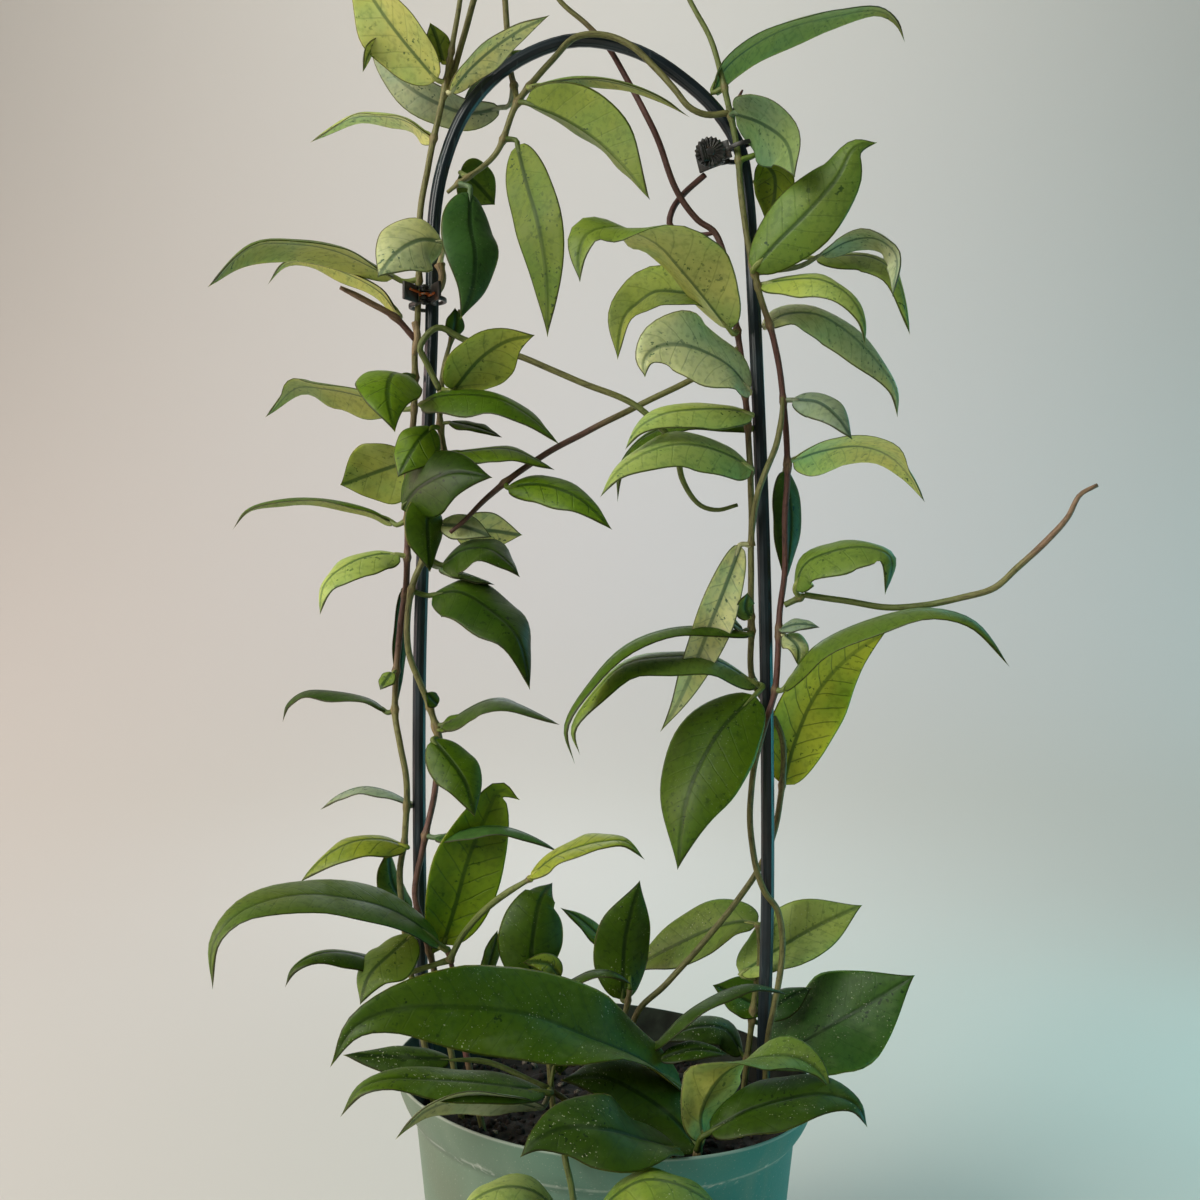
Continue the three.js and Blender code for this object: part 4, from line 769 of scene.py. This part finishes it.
start_vine("rim_shoot")
stem("olive", (34, 70, 54), (36, 80, 57), (37, 88, 60))
stem("olive", (34, 70, 54), (30, 80, 62), (27, 88, 68))
leaf("fresh", 26, [133, 133, 138, 105, 73, 46, 33, 33], (39, 92, 58), (38, 102, 58), (42, 112, 57),
     (50, 121, 57), (63, 125, 56), (76, 125, 56), (85, 120, 57), (91, 111, 60),
     fold=[-2, -2, 10, -10, -2, 13, 14, 14])
leaf("deep", 26, 48, (42, 95, 64), (56, 103, 64), (72, 108, 64), (88, 110, 63), (100, 106, 65),
     (105, 97, 66), fold=-1)
leaf("deep", 31, [72, 72, 49, 33, 25, 25], (29, 88, 75), (15, 92, 83), (1, 96, 89), (-15, 97, 93),
     (-27, 92, 97), (-34, 85, 101), fold=[9, 9, 3, -10, -11, -11])
leaf("deep", 29, 34, (38, 88, 56), (27, 101, 50), (13, 111, 48), (-1, 117, 51), (-18, 116, 57))

start_vine("trailing_stem", radius=1.2)
stem("green", (-14, 68, 62), (-14, 81, 70), (-15, 91, 78), (-16, 90, 84), (-16, 85, 88.5), (-14, 76, 91),
     (-12, 64, 93), (-9, 50, 93))
leaf("bright", 27, 62, (-18, 62, 98), (-28, 71, 101), (-40, 73, 105), (-52, 68, 109), (-62, 56, 112))
leaf("fresh", 27, 62, (-3, 62, 98), (6, 71, 101), (17, 76, 104), (34, 72, 109), (52, 58, 114))
leaf("fresh", 8, 40, (-9, 48, 96), (-7, 42, 98), (-6, 34, 99))

BLADE_BELLY = 0.76
DRIP_TIP = 0.55
BLADE_THICK = 0.9
BLADE_COLUMNS = (-1, -0.94, -0.72, -0.44, -0.2, -0.055, 0, 0.055, 0.2, 0.44, 0.72, 0.94, 1)
BLADE_ROWS = 30
ROW_CROWDING = 0.07
EDGE_WAVE = 0.05
EDGE_RIPPLE = 0.035
HALF_ARCH = 0.035
RIB_SHARE = 0.12
RIB_GROOVE = 0.28
RIB_KEEL = 0.5
SMALL_LEAF = 13
STALK_RADIUS = 1.05
SMALL_STALK_RADIUS = 0.75
LONG_STALK = 6
STALK_BEND = 0.35
KNOT_REACH = 3.2
STEM_STEP = 1.9


def blade_share(t):
    return sin(pi * t ** BLADE_BELLY) ** (0.6 + DRIP_TIP * t) if 0 < t < 1 else 0


def value_at(values, share):
    """One value, or a list of them at even steps, read at a share of the way."""
    if not isinstance(values, list):
        return values
    mark = min(share * (len(values) - 1), len(values) - 1.001)
    before = int(mark)
    return values[before] + (values[before + 1] - values[before]) * (mark - before)


def upper_side(leaf, spot, along, share, chord):
    """The way a leaf's upper side looks at a spot of its midrib."""
    if isinstance(leaf["upper"], Vector):
        return (leaf["upper"] - along * leaf["upper"].dot(along)).normalized()
    to_eye = (EYE - spot).normalized()
    to_eye = (to_eye - along * to_eye.dot(along)).normalized()
    skyward = chord.cross(to_eye)
    hand = -1 if skyward.z + 0.3 * skyward.x < 0 else 1
    turn = radians(value_at(leaf["upper"], share))
    return (to_eye * cos(turn) + along.cross(to_eye) * hand * sin(turn)).normalized()


def blade_rows(leaf, order):
    """The cross lines of a blade from its base to its tip."""
    route = leaf["route"]
    chord = (route.at(1) - route.at(0)).normalized()
    rows = []
    for row in range(BLADE_ROWS + 1):
        even = row / BLADE_ROWS
        t = even - ROW_CROWDING * sin(2 * pi * even)
        middle = route.at(t)
        along = route.along(t)
        up = upper_side(leaf, middle, along, t, chord)
        width = 0.5 * leaf["wide"] * blade_share(t)
        fold = radians(value_at(leaf["fold"], t)) if leaf["wide"] >= SMALL_LEAF else 0
        rows.append(dict(t=t, middle=middle, up=up, side=along.cross(up), width=width, fold=fold,
                         wave=EDGE_WAVE * width * sin(9 * t + order)))
    return rows


def blade_spot(row, hand, skin, order):
    """A point of a blade's upper skin (1) or lower skin (-1), from its left edge (-1) to its right."""
    t, width, fold = row["t"], row["width"], row["fold"]
    half = 1 if hand > 0 else 0
    uneven = 1 + 0.05 * noise.noise(Vector((order * 3.7 + 11 * half, 4 * t, 0.5)))
    ripple = EDGE_RIPPLE * width * hand * hand * sin(17 * t + 2.1 * order + 2.3 * half)
    rise = (width * sin(fold) + row["wave"]) * abs(hand) ** 1.2 + ripple
    rise += HALF_ARCH * width * sin(pi * abs(hand))
    rib = max(0, 1 - abs(hand) / RIB_SHARE) * min(1, 0.2 * width)
    thick = 0.5 * BLADE_THICK * (1 - hand ** 6) ** 0.5 * min(1, 0.5 * width)
    rise += skin * thick - rib * (RIB_GROOVE if skin > 0 else RIB_KEEL * (1 - 0.7 * t))
    return row["middle"] + row["side"] * (hand * width * cos(fold) * uneven) + row["up"] * rise


def grow_blade(shape, leaf, order):
    """One closed blade: two skins that meet along its edge."""
    skin_mm = shape.verts.layers.float_vector["skin_mm"]
    tint = shape.loops.layers.float_color["tint"]
    rows = blade_rows(leaf, order)
    columns = len(BLADE_COLUMNS) - 1
    upper, under, veins = TONES[leaf["tone"]]
    shift = 1.2 + 0.18 * noise.noise(Vector((order * 1.9, 4.3, 0)))
    blade = []
    for skin in (1, -1):
        made = bmesh.ops.create_grid(shape, x_segments=columns, y_segments=BLADE_ROWS, size=0.5)
        faces = faces_of(made["verts"])
        for vert in made["verts"]:
            row = rows[round((vert.co.y + 0.5) * BLADE_ROWS)]
            hand = BLADE_COLUMNS[round((vert.co.x + 0.5) * columns)]
            vert.co = blade_spot(row, hand, skin, order)
            across = hand * row["width"]
            vert[skin_mm] = (across, row["t"] * leaf["route"].length, row["width"] - abs(across))
        if skin < 0:
            bmesh.ops.reverse_faces(shape, faces=faces)
        green = [level * shift for level in (upper if skin > 0 else under)[:3]]
        for face in faces:
            face.material_index = 0 if skin > 0 else 1
            for loop in face.loops:
                loop[tint] = (*green, veins)
        blade += made["verts"]
    bmesh.ops.remove_doubles(shape, verts=blade, dist=0.002)


def grow_stalk(shape, leaf, stems):
    """A leaf's stalk, from the middle of the nearest stem to the start of the leaf's midrib."""
    base = leaf["route"].at(0)
    carrier = min(stems, key=lambda one: one["route"].nearest(base)[1])
    share, gap = carrier["route"].nearest(base)
    carrier["joints"].append(share * carrier["route"].length)
    points = [carrier["route"].at(share)]
    heading = leaf["route"].along(0)
    if gap > LONG_STALK and (base - points[0]).dot(heading) > 0.5 * gap:
        points.append(base - heading * (STALK_BEND * gap))
    for place in (base, leaf["route"].at(0.09)):
        if (place - points[-1]).length > 1:
            points.append(place)
    girth = SMALL_STALK_RADIUS if leaf["wide"] < SMALL_LEAF else STALK_RADIUS

    def stalk_radius(share, angle):
        return girth * (1 + 0.4 * max(0, 1 - share / 0.2) - 0.7 * max(0, (share - 0.7) / 0.3))

    upper, under, veins = TONES[leaf["tone"]]
    green = tuple((a + b) / 2 for a, b in zip(upper, under))
    tint = shape.loops.layers.float_color["tint"]
    for face in sweep(shape, Route(points), stalk_radius, 14, 10):
        face.material_index = 2
        for loop in face.loops:
            loop[tint] = green


def mixed(first, second, blend):
    """A colour between two others."""
    return tuple(a + (b - a) * blend for a, b in zip(first, second))


def bark_at(barks, share):
    """The bark's colour at a share of a stem, whose barks are named from its foot to its end."""
    mark = min(max(share, 0), 0.999) * len(barks)
    here = int(mark)
    after = min(here + 1, len(barks) - 1)
    return mixed(BARKS[barks[here]], BARKS[barks[after]], max(0, mark - here - 0.7) / 0.3)


def grow_stem(shape, stem, radius):
    """A stem with a knot at each leaf joint."""
    skin_mm = shape.verts.layers.float_vector["skin_mm"]
    tint = shape.loops.layers.float_color["tint"]
    length = stem["route"].length

    def knot(mark):
        near = (max(0, 1 - abs(mark - joint) / KNOT_REACH) for joint in stem["joints"])
        return min(1, sum(share ** 2 for share in near))

    def stem_radius(share, angle):
        mark = share * length
        bark = 1 + 0.05 * sin(3 * angle + 0.3 * mark)
        thinning = 0.9 + 0.5 * knot(mark) - 0.35 * max(0, share - 0.8) / 0.2
        return radius * stem["girth"] * thinning * bark

    for face in sweep(shape, stem["route"], stem_radius, max(12, round(length / STEM_STEP)), 10):
        for loop in face.loops:
            mark = loop.vert[skin_mm].y
            blend = 0.7 * knot(mark)
            loop[tint] = mixed(bark_at(stem["barks"], mark / length), JOINT_BARK, blend)


SIDE_VEIN_PITCH = 7.5
DUSTY_BELOW = 0.2
FLESH = dict(Subsurface_Weight=0.6, Subsurface_Scale=0.0014, Subsurface_Radius=(1.0, 1.1, 0.5),
             Specular_IOR_Level=0.24)


def leaf_finish(name, gloss, rib_shade, vein_shade, cool_share, bloom):
    """A leaf skin: its own green with darker veins and edge, patches, specks, flecks, and pale patches on
    the low leaves that are partly dust and partly painted sheen.
    """
    finish, place = new_finish(name, **FLESH)
    green = place.stored("tint")
    veins = place.stored("tint", "Alpha")
    across, along, edge = (place.stored("skin_mm", "Vector").axis(name) for name in "XYZ")
    beside = across.sums("ABSOLUTE", across)
    rib = beside.fade(1.25, 0.45) * (0.5 + 0.5 * along.fade(75, 8))
    staggered = 0.45 * across.sums("GREATER_THAN", across, 0)
    waver = 0.5 * place.grain(70, 2)
    comb = (along - 0.75 * beside) / SIDE_VEIN_PITCH + staggered + waver
    stripe = comb.sums("ABSOLUTE", comb.sums("FRACT", comb) - 0.5) * SIDE_VEIN_PITCH
    side_vein = stripe.fade(0.5, 0.1) * edge.fade(0.6, 2.5) * veins
    low = place.axis("Z").fade(DUSTY_BELOW, DUSTY_BELOW - 0.06)
    fine = place.grain(420, 2)
    bluer = cool_share * place.grain(45, 3).fade(0.45, 0.66)
    green = bluer.mix(green, green.tinted(0.66, 0.9, 1.0))
    yellower = 0.7 * place.grain(24, 2).fade(0.45, 0.65)
    green = yellower.mix(green, green.tinted(1.25, 1.12, 0.7))
    shade = green.tinted(0.2, 0.3, 0.3)
    green = (0.3 * fine.fade(0.45, 0.7)).mix(green, shade)
    green = (side_vein * vein_shade).mix(green, shade)
    green = (rib * rib_shade).mix(green, shade)
    beside_rib = beside.fade(7, 1.5) * place.grain(38, 1).fade(0.44, 0.52)
    peppered = place.grain(70, 1).fade(0.45, 0.6) + beside_rib
    specks = place.grain(560, 1).fade(0.64, 0.69) * peppered
    green = (specks * 0.6).mix(green, shade)
    # Broad pale patches on the low leaves: partly dust, partly a painted grey sheen.
    dust = place.grain(90, 5, stretch=(1, 1, 2)).fade(0.5, 0.75) * low
    green = (dust * (0.35 * bloom)).mix(green, colour(120, 142, 92))
    flecks = place.grain(1300, 1).fade(0.68, 0.73) * place.grain(60, 1).fade(0.42, 0.58)
    flecks = flecks * (0.2 + 0.8 * low)
    green = (flecks * bloom).mix(green, colour(206, 212, 178))
    (edge.fade(0.75, 0.3) * 0.85).mix(green, colour(40, 40, 14)).feed("Base Color")
    (gloss + 0.16 * fine + 0.3 * flecks + 0.2 * dust).feed("Roughness")
    (fine * 0.25 - rib * 0.6 - side_vein * 0.8).emboss(0.0004, 0.5)
    return finish


leaf_upper = leaf_finish("leaf_upper_side", 0.38, 0.9, 0.6, 0.3, 0.6)
leaf_under = leaf_finish("leaf_underside", 0.45, 0.95, 0.65, 0.6, 0.1)

bark, place = new_finish("vine_bark", Roughness=0.6)
own_bark = place.stored("tint")
dark_bark = own_bark.tinted(0.35, 0.32, 0.3)
furrows = place.stored("skin_mm", "Vector").grain(2.2, 3, stretch=(1, 0.12, 1))
scales = place.grain(600, 3)
bark_colour = (0.75 * furrows.fade(0.45, 0.68)).mix(own_bark, dark_bark)
(0.5 * scales.fade(0.55, 0.7)).mix(bark_colour, dark_bark).feed("Base Color")
(0.48 + 0.25 * scales).feed("Roughness")
(furrows + 0.5 * scales).emboss(0.0004, 0.6)

for vine in VINES:
    leaves = bmesh.new()
    stems = bmesh.new()
    for shape in (leaves, stems):
        shape.verts.layers.float_vector.new("skin_mm")
        shape.loops.layers.float_color.new("tint")
    for order, one in enumerate(vine["leaves"]):
        grow_blade(leaves, one, order)
        grow_stalk(leaves, one, vine["stems"])
    for one in vine["stems"]:
        grow_stem(stems, one, vine["radius"])
    node = vine["name"]
    add_piece(node + "_leaves", leaves, [leaf_upper, leaf_under, bark], [node])
    add_piece(node + "_stems", stems, [bark], [node])

# Clips: two spring clips of black plastic that hold a vine to the hoop, each with two jaws on one
# pin. The back jaw has two claws and the pin, the front jaw one claw between them. Grip levers
# reach out behind the pin, and on the right clip the front lever carries a ribbed daisy.
CLIPS = {
    "right_clip": dict(place=(45.3, -2.4, 485.5), turn=0, lean=-14, daisy=True),
    "left_clip": dict(place=(-71, -9, 428), turn=90, lean=0, daisy=False),
}
CLAW_RADIUS = 6.3
CLAW_THICK = 1.3
CLAW_MIDDLE = 9.5
CLAW_ROOT = radians(148)
CLAW_END = radians(8)
CLAW_STEPS = 20
CLIP_HEIGHT = 7
CLAW_HEIGHT = 1.9
PIN_RADIUS = 0.8
PIN_FIT = 0.35
SPRING_WIRE = 0.48
SPRING_COILS = 2
SPRING_STEPS = 40
DAISY_RIBS = 20
DAISY_RADIUS = 6.1


def rounded(shape, faces, offset):
    """Bevels the sharp edges of these faces."""
    edges = {edge for face in faces for edge in face.edges if edge.calc_face_angle(0) > radians(40)}
    bmesh.ops.bevel(shape, geom=list(edges), offset=offset, segments=2, profile=0.5,
                    affect="EDGES", material=-1)


def strip(shape, line, thick, height, level, narrowing=0.0):
    """A bent strip that stands on its long edge. It may narrow towards the end of its line."""
    foot = [shape.verts.new((x, y, level)) for x, y in line]
    edges = [shape.edges.new(pair) for pair in zip(foot, foot[1:])]
    grown = bmesh.ops.extrude_edge_only(shape, edges=edges)["geom"]
    head = [part for part in grown if isinstance(part, bmesh.types.BMVert)]
    wall = [part for part in grown if isinstance(part, bmesh.types.BMFace)]
    bmesh.ops.translate(shape, vec=(0, 0, height), verts=head)
    bmesh.ops.recalc_face_normals(shape, faces=wall)
    middle = level + height / 2
    for vert in foot + head:
        vert.normal_update()
        start_gap, end_gap = (hypot(vert.co.x - x, vert.co.y - y) for x, y in (line[0], line[-1]))
        share = start_gap / (start_gap + end_gap)
        vert.co.z = middle + (vert.co.z - middle) * (1 - narrowing * share)
    for vert in foot + head:
        vert.co += vert.normal * (thick / 2)
    whole = bmesh.ops.solidify(shape, geom=wall, thickness=thick)["geom"]
    faces = faces_of(vert for part in whole + wall if isinstance(part, bmesh.types.BMFace)
                     for vert in part.verts)
    bmesh.ops.recalc_face_normals(shape, faces=faces)
    rounded(shape, faces, min(thick, height) * 0.2)


def jaw(side, daisy):
    """A jaw in its clip's own frame: claws towards +X, pin along Z, front jaw on the -Y side."""
    shape = bmesh.new()
    claw = [(0.6, side * 3)]
    for step in range(CLAW_STEPS + 1):
        angle = CLAW_ROOT - (CLAW_ROOT - CLAW_END) * step / CLAW_STEPS
        reach = CLAW_RADIUS + CLAW_THICK / 2
        claw.append((CLAW_MIDDLE + reach * cos(angle), side * reach * sin(angle)))
    for level in (-3.6, 1.7) if side > 0 else (-0.95,):
        strip(shape, claw, CLAW_THICK, CLAW_HEIGHT, level, narrowing=0.3)
    lever = Route([Vector((x, side * y, 0)) for x, y in ((4.3, 3.7), (0.6, 3), (-3, 4.2), (-8, 7))])
    strip(shape, [lever.at(step / 12).xy for step in range(13)], 1.2, CLIP_HEIGHT, -CLIP_HEIGHT / 2)
    for ridge in range(4):
        spot = lever.at(0.72 + 0.08 * ridge) + lever.along(0.8).cross(Vector((0, 0, side))) * 0.6
        turn = Matrix.Rotation(atan2(lever.along(0.8).y, lever.along(0.8).x), 4, "Z")
        bar = bmesh.ops.create_cube(shape, size=1, matrix=Matrix.Translation(spot) @ turn
                                    @ Matrix.Diagonal((0.45, 0.5, CLIP_HEIGHT - 1, 1)))
        rounded(shape, faces_of(bar["verts"]), 0.12)
    for level in (-CLIP_HEIGHT / 2, CLIP_HEIGHT / 2 - 1) if side > 0 else (-2.1, 1.1):
        strip(shape, [(0.4, side * 3), (0.3, side * 1.3)], 2.2, 1, level)
        bore = PIN_RADIUS + PIN_FIT
        lug = turned([(bore, level), (bore + 0.6, level), (bore + 0.6, level + 1), (bore, level + 1),
                      (bore, level)], 24, {})
        add_shape(shape, lug, Matrix())
    if side > 0:
        pin_end = CLIP_HEIGHT / 2 + 0.5
        pin = turned([(0, -pin_end), (PIN_RADIUS, -pin_end), (PIN_RADIUS, pin_end), (0, pin_end)],
                     20, {1: 0.25, 2: 0.25})
        add_shape(shape, pin, Matrix())
    if daisy:
        face_on = Matrix.Translation((-4, side * 5.6, 0)) @ Matrix.Rotation(radians(90), 4, "X")
        add_shape(shape, daisy_disc(), face_on)
    return shape


def add_shape(shape, other, place):
    """Puts another shape into this one, moved to a place."""
    bmesh.ops.transform(other, matrix=place, verts=other.verts)
    carried = bpy.data.meshes.new("carried")
    other.to_mesh(carried)
    other.free()
    shape.from_mesh(carried)
    bpy.data.meshes.remove(carried)


def daisy_disc():
    """A flat flower that looks along +Z: ribbed petals round a small raised hub."""
    profile = [(0, -0.8), (DAISY_RADIUS, -0.8), (DAISY_RADIUS, 0.1), (DAISY_RADIUS - 0.8, 0.45)]
    profile += [(4, 0.35), (2.6, 0.2), (1.9, 0.1), (1.6, 0.8), (0, 0.8)]
    disc = turned(profile, 8 * DAISY_RIBS, {1: 0.2, 3: 0.3, 7: 0.35})
    for vert in disc.verts:
        reach = vert.co.xy.length
        lobe = 0.5 + 0.5 * cos(DAISY_RIBS * atan2(vert.co.y, vert.co.x))
        if reach > 4.6:
            vert.co.xy *= 1 - 0.07 * (1 - lobe)
        if vert.co.z > -0.3 and reach > 1.9:
            vert.co.z -= 0.6 * (1 - lobe)
    return disc


def spring():
    """Two coils of wire round the pin, each end led back along the inside of a lever."""
    line = [Vector((-6.2, -4.6, -0.8))]
    for step in range(SPRING_STEPS + 1):
        share = step / SPRING_STEPS
        angle = radians(-100) + 2 * pi * (SPRING_COILS - 0.45) * share
        line.append(Vector((1.75 * cos(angle), 1.75 * sin(angle), -0.65 + 1.3 * share)))
    line.append(Vector((-6.2, 4.6, 0.8)))
    shape = bmesh.new()
    sweep(shape, Route(line, steps=4), lambda share, angle: SPRING_WIRE, 220, 12)
    return shape


clip_plastic, place = new_finish("black_clip_plastic", Roughness=0.4)
# Lighter patches on the black plastic: partly dust, partly painted highlights standing in for the sheen
# on its ribs.
dust_and_highlights = place.grain(300, 4)
rusty = place.grain(190, 3).fade(0.62, 0.72)
black = dust_and_highlights.fade(0.35, 0.7).mix(colour(22, 23, 23), colour(66, 64, 60))
(rusty * 0.3).mix(black, colour(118, 74, 40)).feed("Base Color")
(0.3 + 0.3 * dust_and_highlights).feed("Roughness")
place.grain(900, 3).emboss(0.0002, 0.5)

rusty_steel, place = new_finish("rusty_spring_steel")
rust = place.grain(700, 4)
bright = rust.fade(0.44, 0.36)
bright.mix(colour(172, 86, 32), colour(150, 140, 128)).feed("Base Color")
bright.feed("Metallic")
(0.85 - 0.5 * bright).feed("Roughness")
rust.emboss(0.0002, 0.7)

for name, clip in CLIPS.items():
    stand = Matrix.Translation(clip["place"]) @ Matrix.Rotation(radians(clip["turn"]), 4, "Z")
    stand = stand @ Matrix.Rotation(radians(clip["lean"]), 4, "Y")
    pieces = {
        "front_jaw": (jaw(-1, clip["daisy"]), "clip_plastic", clip_plastic),
        "back_jaw": (jaw(1, False), "clip_plastic", clip_plastic),
        "spring": (spring(), "spring_steel", rusty_steel),
    }
    for piece, (shape, slot, finish) in pieces.items():
        bmesh.ops.transform(shape, matrix=stand, verts=shape.verts)
        made = add_piece(f"{name}_{piece}_fine", shape, [finish], [f"{name}_{piece}"])
        made.data.set_sharp_from_angle(angle=radians(50))
